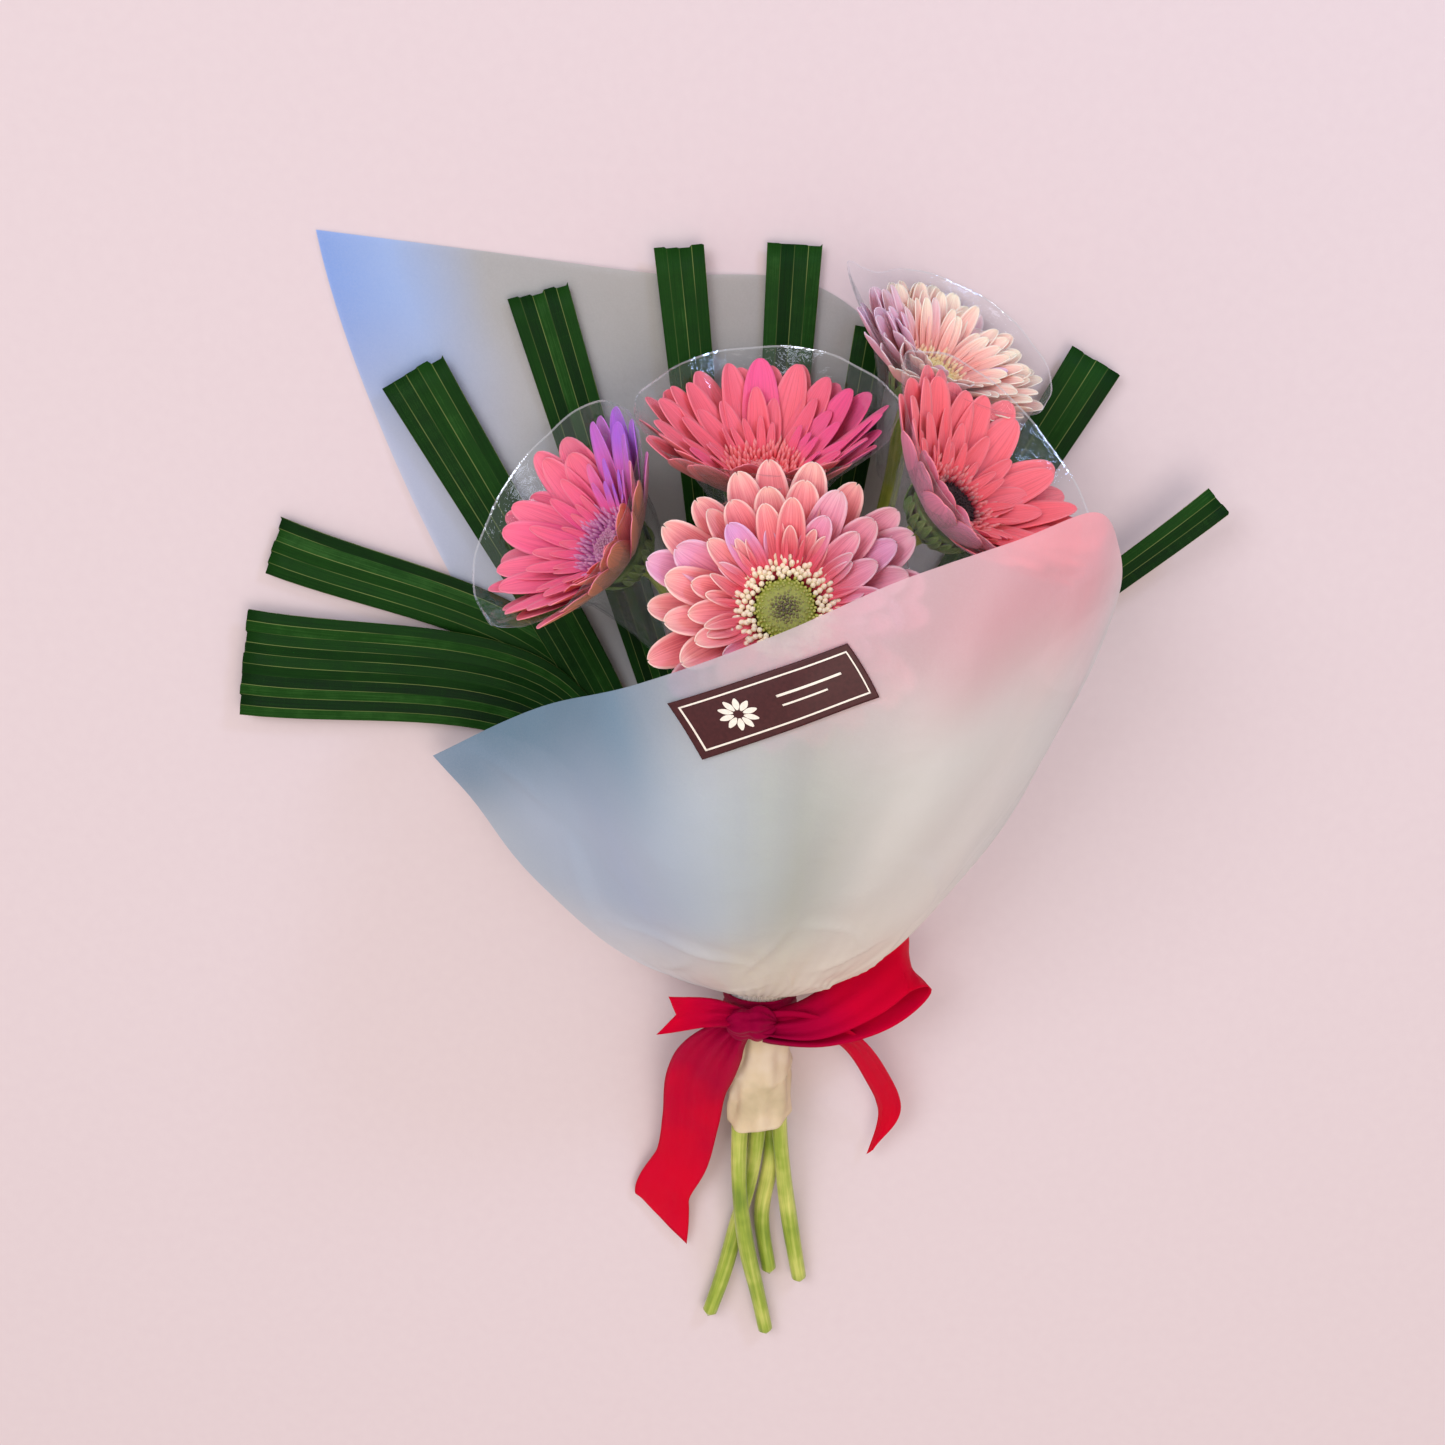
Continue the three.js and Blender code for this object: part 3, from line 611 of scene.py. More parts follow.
for name, flower in FLOWERS.items():
    radius, dome = flower["disc"]
    profile = [(0, 0.3), (radius, 0.3), (radius * 0.92, dome * 0.5), (radius * 0.6, dome * 0.8), (0, dome * 0.7)]
    piece(f"{name}_disc_cushion", turned(flower, profile), BUDS[name], [f"{name}_disc"],
          closed=True, marks={"reach": 0.5})
    count = int(np.pi * radius ** 2 / BUD_SPACING ** 2 / 0.92)
    points, reach = studs(flower, count, 0.0, radius - 0.3, (dome * 0.62, dome * 0.25), (1.3, 1.9), 1.25,
                          (0, 30), 0.5)
    piece(f"{name}_buds", points, BUDS[name], closed=True, marks={"reach": reach})
    count, inner, outer, length, width, lean = FRINGE[name]
    points, reach = studs(flower, count, inner, outer, (0.8, -0.5), length, width, lean,
                          0.45 if name == "front" else 0.6)
    piece(f"{name}_fringe", points, FRINGES[name], closed=True, marks={"reach": reach})

# %% [markdown]
# ## Calyx and stem
# Behind the petals a cup of small green scales holds the head, and below it the stem is a soft, slightly
# ribbed green bar with fine down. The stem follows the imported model's route from its cut end, through the
# tie, to the cup. A bar needs no more than a circle carried along a curve.


# %% Green finishes
def green_finish(name, stops, streak, roughness=0.45):
    """Green that wanders in patches and in streaks along the piece, with a downy sheen."""
    material = finish(name, Roughness=roughness, Specular_IOR_Level=0.35, Sheen_Weight=0.25, Sheen_Roughness=0.4,
                      Subsurface_Weight=0.08, Subsurface_Radius=(0.5, 1.0, 0.2), Subsurface_Scale=0.002)
    patches = noise(material, places(material), 45, 3)
    lines = noise(material, stretched(material, places(material, "UV"), streak), 1.0, 3)
    place = sum_of(material, "ADD", sum_of(material, "MULTIPLY", patches, 0.75),
                   sum_of(material, "MULTIPLY", lines, 0.5))
    feed(material, Base_Color=ramp(material, place, stops))
    relief(material, lines, 0.0004, 0.7)
    return material


STEM_GREEN = green_finish("gerbera_stem", [(0.35, "#4f7014"), (0.6, "#94a636"), (0.85, "#d2d070")], (16, 0.04, 1))
CALYX_GREEN = green_finish("calyx_green", [(0.3, "#38561c"), (0.6, "#5c7d2e"), (0.9, "#8fa655")], (10, 2, 1), 0.6)

# %% Make the calyxes and stems
CALYX_DEPTH = 14.0
STEM_R = 3.4
TIED_LENGTH = 50.0  # the stems run side by side from the tie down to here
CALYX_PROFILE = [(0, -14), (4.2, -14), (6.5, -13), (9.6, -10.4), (12, -7.2), (12.8, -5.2), (11, -5.1), (0, -5.1)]


def stem_route(flower):
    """The stem's points from the cut end, through the tied part, to under the calyx."""
    x, z = flower["neck"]
    under = flower["head"] - (CALYX_DEPTH - 0.5) * flower["axis"]
    return [*flower["foot"][::-1], (x, -TIED_LENGTH, z), (x, -TIED_LENGTH / 2, z), (x, 0, z),
            (x * 1.1, 12, z + 0.5), flower["base"], under - 9 * flower["axis"], under]


for name, flower in FLOWERS.items():
    piece(f"{name}_calyx_cup", turned(flower, CALYX_PROFILE, 32), CALYX_GREEN, [f"{name}_calyx"],
          closed=True)
    scales = [petal_ring(flower, 15, 4.4, (5.5, -13.6), (12.0, -12.5), (15.2, -4.6), k / 2, 2.6, -0.22, 0.6)[0]
              + k * -0.5 * flower["axis"] for k in range(2)]
    piece(f"{name}_calyx_scales", np.concatenate(scales), CALYX_GREEN, thick=0.3, grow=1)
    line = evenly(stem_route(flower), 120)
    distance = np.linspace(0, 1, len(line))
    cut = np.sqrt(np.clip(1 - (1 - np.clip(distance / 0.006, 0, 1)) ** 2, 0, 1))
    swell = (1 + 0.06 * np.sin(distance * 31 + len(name)) * (distance < 0.5)
             + 0.35 * smooth_step(distance, 0.975, 1.0))
    radii = STEM_R * cut * swell * (distance < 1)
    piece(f"{name}_flower_stem", tube(line, radii, 18), STEM_GREEN, [f"{name}_stem"], closed=True,
          uv_size=(1, 300))

# %% [markdown]
# ## Clear sleeves
# Each head sits in a cone of thin clear film that keeps the petals up. It shows only as faint haze, bright
# streaks and a thin rim line, so the finish is mostly transparent with a glossy layer that grows at
# glancing angles. The wall is a little uneven, has one overlapping seam and a folded corner at the rim.


# %% Clear film finish
def clear_film():
    """Transparent film with a glossy skin: gloss share = 0.07 + 0.6 facing^2, more at the rim and seam."""
    material = bpy.data.materials.new("clear_sleeve_film")
    material.use_nodes = True
    material.node_tree.nodes.remove(material.node_tree.nodes["Principled BSDF"])
    u, v = add_node(material, "SeparateXYZ", {"Vector": places(material, "UV")}).outputs[:2]
    crinkle = noise(material, stretched(material, places(material, "UV"), (9, 5, 1)), 2.2, 4, 0.6)
    bump = add_node(material, "Bump", {"Height": crinkle, "Distance": 0.004, "Strength": 0.5}).outputs[0]
    gloss = add_node(material, "BsdfGlossy", {"Color": linear("#f4f8ff"), "Roughness": 0.07, "Normal": bump})
    haze = add_node(material, "BsdfDiffuse", {"Color": linear("#cfd6da")})
    skin = add_node(material, "MixShader", {0: 0.28, 1: gloss.outputs[0], 2: haze.outputs[0]}).outputs[0]
    clear = add_node(material, "BsdfTransparent", {"Color": linear("#fbfcfd")}).outputs[0]
    facing = add_node(material, "LayerWeight", {"Blend": 0.22, "Normal": bump}).outputs["Facing"]
    share = sum_of(material, "MULTIPLY_ADD", sum_of(material, "POWER", facing, 2.0), 0.6, 0.07)
    rim = sum_of(material, "MULTIPLY", step(material, v, 0.988, 0.993), 0.4)
    seam = sum_of(material, "MULTIPLY", step(material, u, 0.988, 0.992), 0.22)
    share = sum_of(material, "ADD", share, sum_of(material, "MAXIMUM", rim, seam), clamp=True)
    mix = add_node(material, "MixShader", {0: share, 1: clear, 2: skin}).outputs[0]
    material.node_tree.links.new(mix, material.node_tree.nodes["Material Output"].inputs["Surface"])
    return material


CLEAR_FILM = clear_film()

# %% Make the sleeves
SLEEVE_HOLE_R = 7.0
SLEEVE_WAIST_R = 22.0
SEAM_LAP = 0.22  # radians of overlap


def sleeve_wall(flower):
    """A trumpet of film: radius and height follow a curve from the hole through the waist to the rim, and
    below the waist the wall leans over to where the stem leaves it. The radius spirals out a little so that
    the seam overlaps, and swells at the folded corner."""
    rim_r, rim_h, waist = flower["sleeve"]
    base = np.array(flower["base"], float)
    reach = (base - flower["head"]) @ flower["axis"]
    t = np.linspace(0, 1, 40)
    profile = along([(SLEEVE_HOLE_R, reach, 0), (SLEEVE_WAIST_R, waist, 0), (rim_r, rim_h, 0)], t)
    turn = np.linspace(0, 2 * np.pi + SEAM_LAP, 120)
    a = turn[None, :] + 0.0 * t[:, None]
    t = t[:, None]
    corner, out = flower["corner"]
    from_corner = np.arccos(np.clip(np.cos(a - np.radians(corner)), -1, 1))
    fold = np.exp(-(from_corner / 0.22) ** 2) * smooth_step(t, 0.5, 1)
    phase = float(flower["base"][0])
    dents = (0.5 * np.sin(3 * a + phase) + 0.35 * np.sin(7 * a + 9 * t + phase) + 0.2 * np.sin(13 * a - 14 * t))
    radius = profile[:, :1] + dents * (0.4 + t) + 0.6 * turn / (2 * np.pi) + out * fold
    height = profile[:, 1:2] + 0.8 * np.sin(2 * a + phase) * t + 0.5 * out * fold
    drift = base - flower["head"] - reach * flower["axis"]
    lean = np.clip((waist - height) / (waist - reach), 0, 1)[..., None]
    return round_head(flower, a, radius, height) + lean * drift


for name, flower in FLOWERS.items():
    piece(f"{name}_clear_sleeve", sleeve_wall(flower), CLEAR_FILM, [f"{name}_sleeve"])

# %% [markdown]
# ## Palm leaves
# The leaves are strips of a fan palm, cut square at the end. They are folded lengthwise like an accordion,
# dark and a little dusty, with a thin pale rib on each fold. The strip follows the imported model's spine,
# and its height across is a triangle wave, one side of a fold for each pleat.


# %% Leaf finish
def leaf_finish():
    """Dark green. Each pleat has its own tone, fine streaks run along it, and folds are thin pale lines."""
    material = finish("palm_green", Specular_IOR_Level=0.1)
    uv = places(material, "UV")
    u, v = add_node(material, "SeparateXYZ", {"Vector": uv}).outputs[:2]
    pleat = sum_of(material, "FLOOR", u)
    one = add_node(material, "TexWhiteNoise", {"W": sum_of(material, "ADD", pleat, mark(material, "tone"))},
                   noise_dimensions="1D").outputs[0]
    streaks = noise(material, stretched(material, uv, (9, 0.055, 1)), 1.0, 4, 0.6)
    dust = noise(material, places(material), 120, 4, 0.65)
    place = sum_of(material, "ADD", sum_of(material, "MULTIPLY", one, 0.5),
                   sum_of(material, "MULTIPLY", streaks, 0.42))
    place = sum_of(material, "ADD", place, sum_of(material, "MULTIPLY_ADD", dust, 0.3, -0.15), clamp=True)
    colour = ramp(material, place, [(0.1, "#021c04"), (0.35, "#082e04"), (0.6, "#143e0a"), (0.85, "#356028")])
    off = sum_of(material, "ABSOLUTE", sum_of(material, "SUBTRACT", sum_of(material, "FRACT", u), 0.5))
    line = sum_of(material, "MULTIPLY", step(material, off, 0.455, 0.49), 0.55)
    line = sum_of(material, "MULTIPLY", line, step(material, noise(material, stretched(material, uv, (3, 0.03, 1)),
                  1.0), 0.35, 0.6))
    feed(material, Base_Color=blend(material, line, colour, "#8d9a58"),
         Roughness=sum_of(material, "MULTIPLY_ADD", dust, 0.3, 0.4))
    relief(material, streaks, 0.0003, 0.5)
    return material


PALM_GREEN = leaf_finish()

# %% Make the leaves
# end: the middle of the square-cut end. angle: the base's place round the tied stems, in degrees.
LEAVES = [
    dict(end=(-207, 139, 6), via=(-85, 120, 6.8), width=44, angle=195, layer=1, pleats=10, widens=0.8,
         settles=((14, 0.6), (45, 0.15))),
    dict(end=(-193, 186, 3), via=(-80, 138, 3), width=24, angle=225, layer=0, pleats=5, widens=0.8),
    dict(end=(-135, 254, 4.9), via=(-68, 132, 4.9), width=27, angle=212, layer=1, pleats=5),
    dict(end=(-86, 284, 3), via=(-48, 152, 3), width=24, angle=245, layer=0, pleats=5),
    dict(end=(-32, 301, 6), via=(-18, 155, 6), width=19, angle=248, layer=1, pleats=4),
    dict(end=(12, 302, 3), via=(4, 158, 3), width=21, angle=271, layer=0, pleats=4),
    dict(end=(43, 270, 6), via=(21, 138, 6), width=16, angle=287, layer=1, pleats=3),
    dict(end=(128, 258, 5), via=(55, 131, 3), width=22, angle=302, layer=0, pleats=4),
    dict(end=(175, 207, 22), via=(84, 124, 6), width=13, angle=330, layer=1, pleats=3),
]
LEAF_BASE_WIDTH, LEAF_FROM, LEAF_RADIUS = 3.0, 12.0, (13.8, 12.3)
LEAF_SETTLES = ((13, 0.5), (30, 0.06))  # distances from the base and the share of the height still to lose
PLEAT_DEPTH = 0.7
PLEAT_GROWS_OVER = 90  # millimetres from the base over which the pleats reach their depth
RAGGED_END = 0.45  # how unevenly the pleats are cut
LEAF_THICKNESS = 0.35


def leaf_points(leaf):
    """A strip along the leaf's spine: spine + side x half width + normal x a triangle wave across it."""
    turn, r = np.radians(leaf["angle"]), LEAF_RADIUS[leaf["layer"]]
    root = np.array([r * np.cos(turn), LEAF_FROM, TIE_HEIGHT + r * np.sin(turn)])
    end, via = np.array(leaf["end"], float), np.array(leaf["via"], float)
    places_on = []
    settles = leaf.get("settles", LEAF_SETTLES)
    for distance, left in settles:
        place = root + (via - root) * distance / np.linalg.norm(via - root)
        place[2] = via[2] + (root[2] - via[2]) * left
        places_on.append(place)
    v = np.linspace(0, 1, 60)
    spine = along([root, *places_on, via, end], v)
    ahead = unit(np.gradient(spine, axis=0))
    length = np.linalg.norm(np.diff(spine, axis=0), axis=1).sum()
    level = unit(np.array([end[1] - via[1], via[0] - end[0], 0.0]))
    at_base = np.array([-np.sin(turn), 0, np.cos(turn)])
    at_base = at_base if at_base[0] >= 0 else -at_base
    over = smooth_step(v * length, 0, settles[1][0])[:, None]
    side = unit(at_base * (1 - over) + level * over)
    half = (LEAF_BASE_WIDTH + (leaf["width"] - LEAF_BASE_WIDTH) * v ** leaf.get("widens", 1.3)) / 2
    s = np.linspace(0, 1, leaf["pleats"] * 6 + 1)
    fold = 1 - np.abs((s * leaf["pleats"]) % 2 - 1)
    lift = fold[None] * (PLEAT_DEPTH * smooth_step(v * length, 0, PLEAT_GROWS_OVER))[:, None]
    pleat = np.minimum((s * leaf["pleats"]).astype(int), leaf["pleats"])
    ragged = chance.normal(0, RAGGED_END, leaf["pleats"] + 1)[pleat]
    points = spine[:, None] + side[:, None] * (half[:, None] * (2 * s - 1))[..., None]
    points = points + np.cross(side, ahead)[:, None] * lift[..., None]
    return points + ahead[:, None] * (ragged[None] * v[:, None] ** 30)[..., None], length


for number, leaf in enumerate(LEAVES, 1):
    points, length = leaf_points(leaf)
    piece(f"palm_strip_{number}", points, PALM_GREEN, [f"palm_leaf_{number}"], LEAF_THICKNESS,
          uv_size=(leaf["pleats"], length), marks={"tone": number * 17.0})

# %% [markdown]
# ## The frosted wrap
# One sheet of frosted film lies flat at the back, turns up at the right and comes over the front like a
# pocket. Where it is tied it gathers into small folds. A cloth simulation would soften its crisp edges, so
# the sheet is a grid of ribs instead: each rib is a curve from the neck to the sheet's edge, and the ribs
# run in order round the bunch. Gathers, soft dents and sharp creases are added along the surface's normal.

# %% The wrap's surface
NECK_R, NECK_FROM, NECK_TO = 13.6, -6.0, 6.0
NECK_SHARE = 1 / 11  # the part of each rib that is the straight neck
FILM_REST = 0.3  # the film's middle is at least this high
# Neck angle in degrees, then the rib's two pulling points and its end at the sheet's edge.
RIBS = [
    (215, (-70, 58, -24), (-155, 213, 0.3), (-170, 307, 0.3)),
    (235, (-40, 54, -14), (-90, 185, 0.3), (-106, 299, 0.3)),
    (253, (-15, 52, -8), (-36, 180, 0.3), (-43, 291, 0.3)),
    (272, (10, 50, -6), (17, 175, 0.3), (24, 284.5, 0.3)),
    (290, (34, 42, -8), (60, 140, 0.3), (73, 230, 0.3)),
    (310, (50, 24, -10), (94, 90, 0.3), (104, 142, 0.3)),
    (332, (58, 12, 8), (107, 88, 20), (119, 132, 25)),
    (356, (58, 5, 30), (109, 108, 60), (133, 178, 56)),
    (380, (48, 3, 42), (102, 118, 108), (124, 203, 88)),
    (402, (38, 5, 52), (86, 125, 146), (108, 220, 121)),
    (423, (28, 8, 58), (60, 126, 168), (77, 214, 145)),
    (440, (16, 10, 62), (34, 124, 166), (43, 202, 145)),
    (455, (0, 12, 62), (4, 120, 168), (6, 185, 144)),
    (472, (-20, 12, 58), (-36, 108, 160), (-44, 161, 122)),
    (492, (-44, 10, 42), (-72, 88, 86), (-84, 136, 63)),
    (520, (-75, 10, 26), (-105, 75, 20), (-131.5, 102, 11)),
]
RIB_ROWS = [[rib[k] for rib in RIBS] for k in (1, 2, 3)]
RIB_ANGLES = [(rib[0], 0, 0) for rib in RIBS]


def smooth_film(s, v):
    """The wrap without its creases. s runs round the bunch and v from the neck to the edge. A rib is the
    cubic Bezier curve of its neck point and its three others."""
    angle = np.radians(along(RIB_ANGLES, s)[..., 0])
    ring = np.stack([NECK_R * np.cos(angle), 0 * angle, TIE_HEIGHT + NECK_R * np.sin(angle)], -1)
    w = np.clip((v - NECK_SHARE) / (1 - NECK_SHARE), 0, 1)[..., None]
    a = ring + np.array([0, NECK_TO, 0])
    b, c, d = (along(row, s) for row in RIB_ROWS)
    rib = (1 - w) ** 3 * a + 3 * (1 - w) ** 2 * w * b + 3 * (1 - w) * w ** 2 * c + w ** 3 * d
    tied = ring.copy()
    tied[..., 1] = NECK_FROM + (NECK_TO - NECK_FROM) * v / NECK_SHARE
    points = np.where(v[..., None] <= NECK_SHARE, tied, rib)
    points[..., 2] = np.maximum(points[..., 2], FILM_REST)
    return points


CREASE_HEIGHT = 1.5  # multiplies every crease
CREASES = [  # middle (s, v), direction in degrees, length as a share of the film, and height in millimetres
    ((0.70, 0.47), 20, 0.10, 1.0), ((0.66, 0.38), 150, 0.08, 0.8), ((0.60, 0.55), 35, 0.09, 0.8),
    ((0.74, 0.30), 60, 0.07, 0.9), ((0.80, 0.42), 120, 0.09, 0.8), ((0.88, 0.45), 30, 0.10, 1.1),
    ((0.92, 0.36), 140, 0.07, 0.9), ((0.56, 0.35), 75, 0.08, 0.9), ((0.52, 0.62), 110, 0.08, 0.7),
    ((0.63, 0.27), 15, 0.08, 1.0), ((0.84, 0.25), 170, 0.07, 1.0), ((0.96, 0.60), 100, 0.12, 0.8),
    ((0.12, 0.70), 60, 0.10, 0.5), ((0.22, 0.55), 120, 0.08, 0.5),
]


def film_height(s, v):
    """How far the film stands off its smooth shape: gathers that fade from the neck, three slow waves, and
    creases, each a narrow ridge with a soft valley beside it."""
    gathers = 0.55 * np.sin(2 * np.pi * (31 * s + 0.5 * np.sin(9 * s))) * np.exp(-np.abs(v - 0.12) / 0.12)
    waves = (0.9 * np.sin(2 * np.pi * (3.1 * s + 1.3 * v)) + 0.7 * np.sin(2 * np.pi * (5.3 * s - 2.1 * v) + 1)
             + 0.5 * np.sin(2 * np.pi * (8.7 * s + 3.3 * v) + 2)) * smooth_step(v, 0.12, 0.4) * 0.8
    height = gathers + waves
    for (s0, v0), turn, length, ridge in CREASES:
        x, y = (s - s0) * 1.6, v - v0
        turn = np.radians(turn)
        on, off = x * np.cos(turn) + y * np.sin(turn), y * np.cos(turn) - x * np.sin(turn) + 1.5 * (x ** 2)
        across = np.exp(-np.abs(off) / 0.009) - 0.6 * np.exp(-((off - 0.02) / 0.025) ** 2)
        height = height + CREASE_HEIGHT * ridge * np.exp(-(on / length) ** 2) * across
    return height


def film_surface(s, v, away=0.0):
    """The wrap's surface, and a distance away from it on its outer side."""
    step_size = 1e-3
    s_to, v_to = np.where(s < 0.5, step_size, -step_size), np.where(v < 0.5, step_size, -step_size)
    points = smooth_film(s, v)
    round_it = (smooth_film(s + s_to, v) - points) * np.sign(s_to)[..., None]
    up_it = (smooth_film(s, v + v_to) - points) * np.sign(v_to)[..., None]
    outward = unit(np.cross(up_it, round_it))
    flat = points[..., 2] < FILM_REST + 1e-4
    outward[flat] = (0, 0, -1)
    points = points + outward * (film_height(s, v) + away)[..., None]
    points[..., 2] = np.maximum(points[..., 2], FILM_REST)
    return points


s, v = np.meshgrid(np.linspace(0, 1, 260), np.linspace(0, 1, 130))
film_points = film_surface(s, v)


def laid_flat(points):
    """The cut of a sheet made of ribs, from lengths alone, as a pattern cutter would lay it out. Each rib keeps
    its length. The next rib turns away by (arc - neck piece) / mean rib, where arc is the part of the edge
    piece that runs across the ribs. Gives the outline's width and length and its area, the sum of
    (neck piece + arc) / 2 x mean rib."""
    ribs = np.linalg.norm(np.diff(points, axis=0), axis=-1).sum(0)
    neck, edge = (np.linalg.norm(np.diff(row, axis=0), axis=-1) for row in (points[0], points[-1]))
    mean = (ribs[1:] + ribs[:-1]) / 2
    arc = np.sqrt(np.maximum(edge ** 2 - np.diff(ribs) ** 2, 0))
    turn = np.concatenate([[0], np.cumsum((arc - neck) / mean)])
    hub = neck.sum() / turn[-1]
    turn = turn - turn[-1] / 2
    x = np.concatenate([(hub + ribs) * np.sin(turn), hub * np.sin(turn)])
    y = np.concatenate([(hub + ribs) * np.cos(turn), hub * np.cos(turn)])
    return np.ptp(x) / 1000, np.ptp(y) / 1000, ((neck + arc) / 2 * mean).sum() * 1e-6


# The smooth film, without gathers and creases, gives the cut, so the finished sheet's area can be held to it.
cut_width, cut_length, cut_area = laid_flat(smooth_film(s, v))
print("wrap laid flat", round(cut_width, 3), "x", round(cut_length, 3), "m,", round(cut_area, 4), "square metres")


# %% Frosted film finish
def frosted_film():
    """Milky film that lets light through and blurs what is behind it. Its colour is painted light and shade
    that goes round the bunch and from the neck to the edge: painted blue sky light, painted pink light from the
    flowers behind it, painted grey shade and painted warm light at the neck."""
    material = finish("frosted_wrap_film", Roughness=0.45, IOR=1.3, Transmission_Weight=0.3, Alpha=0.94,
                      Specular_IOR_Level=0.4)
    u, v = add_node(material, "SeparateXYZ", {"Vector": places(material, "UV")}).outputs[:2]
    drift = noise(material, places(material), 9, 2)
    u = sum_of(material, "ADD", u, sum_of(material, "MULTIPLY_ADD", drift, 0.04, -0.02))
    v = sum_of(material, "ADD", v, sum_of(material, "MULTIPLY_ADD", drift, 0.20, -0.10))
    # painted light at the edge: blue sky light at both sides, pink light from the flowers behind, grey shade between
    edge = ramp(material, u, [(0.0, "#7fa6ea"), (0.03, "#9dbcee"), (0.065, "#aeb0ae"), (0.14, "#acaca6"),
                              (0.34, "#a2a2a0"), (0.44, "#dcdcdc"), (0.52, "#f4c4c8"), (0.58, "#ffb4bc"),
                              (0.66, "#f0b2b8"), (0.74, "#deb8bc"), (0.82, "#c8bcbe"), (0.88, "#7ea2be"),
                              (1.0, "#6288a4")])
    # painted light in the middle: blue sky light at both sides, grey shade and pale light between
    middle = ramp(material, u, [(0.0, "#b4bfd6"), (0.06, "#bcbebf"), (0.30, "#bab9b6"), (0.44, "#e2e2e0"),
                                (0.58, "#f8f2ec"), (0.70, "#eeeae4"), (0.78, "#c9cdc8"), (0.84, "#ccd8e6"),
                                (0.91, "#bcd0ec"), (1.0, "#a9bccb")])
    # painted warm cream light near the neck
    neck = ramp(material, u, [(0.0, "#d2d4d8"), (0.5, "#fbeedd"), (0.75, "#f8ebdc"), (0.88, "#eee6e0"),
                               (1.0, "#d8dde4")])
    colour = blend(material, step(material, v, 0.7, 0.97), middle, edge)
    colour = blend(material, step(material, v, 0.6, 0.28), colour, neck)
    mist = noise(material, places(material), 1600, 2)
    feed(material, Base_Color=blend(material, sum_of(material, "MULTIPLY", mist, 0.12), colour, "#ffffff"))
    relief(material, noise(material, places(material), 48, 4), 0.0022, 0.4)
    return material


FROSTED = frosted_film()
wrap = piece("frosted_wrap", film_points, FROSTED, ["wrap_sheet"])

# %% [markdown]
# ## The label
# A small dark card is stuck to the front of the wrap. It follows the film's curve, so its points come from
# the same surface, a little further out. The print is a plain frame, a flower and two lines, made as thin
# raised foil, because foil really lies on the card's surface.

# %% Make the label
# Places (s, v) on the film: the card's left and right corners at its foot, then at its top.
LABEL_CORNERS = np.array([[(0.840, 0.849), (0.738, 0.861)], [(0.854, 0.954), (0.764, 0.947)]])
LABEL_STANDS = 0.9  # the card above the film, in millimetres
CARD_THICKNESS = 0.4


def on_label(a, b, above=0.0):
    """A point on the card: a runs along it and b up it, both 0 to 1. Its place on the film is mixed from
    the places of the corners."""
    foot, top = (row[0] + (row[1] - row[0]) * a[..., None] for row in LABEL_CORNERS)
    s, v = np.moveaxis(foot + (top - foot) * b[..., None], -1, 0)
    return film_surface(s, v, LABEL_STANDS + above)


def card_finish():
    """Dark maroon coated card with a very fine fibre."""
    material = finish("maroon_card", Roughness=0.45, Specular_IOR_Level=0.3)
    grain = noise(material, places(material), 700, 4)
    feed(material, Base_Color=ramp(material, grain, [(0.2, "#3a1416"), (0.8, "#4c1f20")]))
    relief(material, grain, 0.00005, 0.4)
    return material


def foil_finish():
    """Pale cream foil with a soft gloss."""
    material = finish("cream_foil", Roughness=0.35, Metallic=0.0, Specular_IOR_Level=0.6)
    grain = noise(material, places(material), 900, 2)
    feed(material, Base_Color=ramp(material, grain, [(0.2, "#e9dccb"), (0.8, "#fbf2e4")]))
    return material


a, b = np.meshgrid(np.linspace(0, 1, 80), np.linspace(0, 1, 30))
piece("maroon_label", on_label(a, b), card_finish(), ["front_label"], CARD_THICKNESS)

# %% Print on the label
LABEL_SHAPE = 3.1  # the card is this many times as long as it is high
FOIL_ABOVE = 0.35


def foil_bar(a0, b0, a1, b1):
    """A thin straight bar of foil between two corners on the card."""
    a, b = np.meshgrid(np.linspace(a0, a1, 24), np.linspace(b0, b1, 24))
    return on_label(a, b, FOIL_ABOVE)


def foil_petal(turn, inner, outer, half):
    """A small petal round the printed flower's middle: a lens whose half width is a sine along it."""
    t, w = np.meshgrid(np.linspace(0, 1, 24), np.linspace(-1, 1, 24))
    r, side = inner + (outer - inner) * t, half * np.sin(np.pi * (0.08 + 0.84 * t)) * w
    x, y = r * np.cos(turn) - side * np.sin(turn), r * np.sin(turn) + side * np.cos(turn)
    return on_label(0.26 + x / LABEL_SHAPE, 0.5 + y, FOIL_ABOVE)


thin, inset = 0.028, 0.11
edge = inset / LABEL_SHAPE
prints = [foil_bar(edge, inset, 1 - edge, inset + thin), foil_bar(edge, 1 - inset - thin, 1 - edge, 1 - inset),
          foil_bar(edge, inset, edge + thin / LABEL_SHAPE, 1 - inset),
          foil_bar(1 - edge - thin / LABEL_SHAPE, inset, 1 - edge, 1 - inset),
          foil_bar(0.46, 0.56, 0.86, 0.60), foil_bar(0.46, 0.40, 0.74, 0.43)]
prints += [foil_petal(2 * np.pi * k / 10, 0.07, 0.27, 0.045) for k in range(10)]
piece("label_print", np.stack(prints), foil_finish(), thick=0.12)

# %% [markdown]
# ## Collar and binding
# Under the bow the stems wear a short collar of cream film, squeezed into creases, and inside the wrap a
# turn of tape holds them. The collar is a loose tube round the stems with an uneven lower edge.

# %% Make the collar and finish the binding
COLLAR_R, COLLAR_TO = 12.4, -57.0


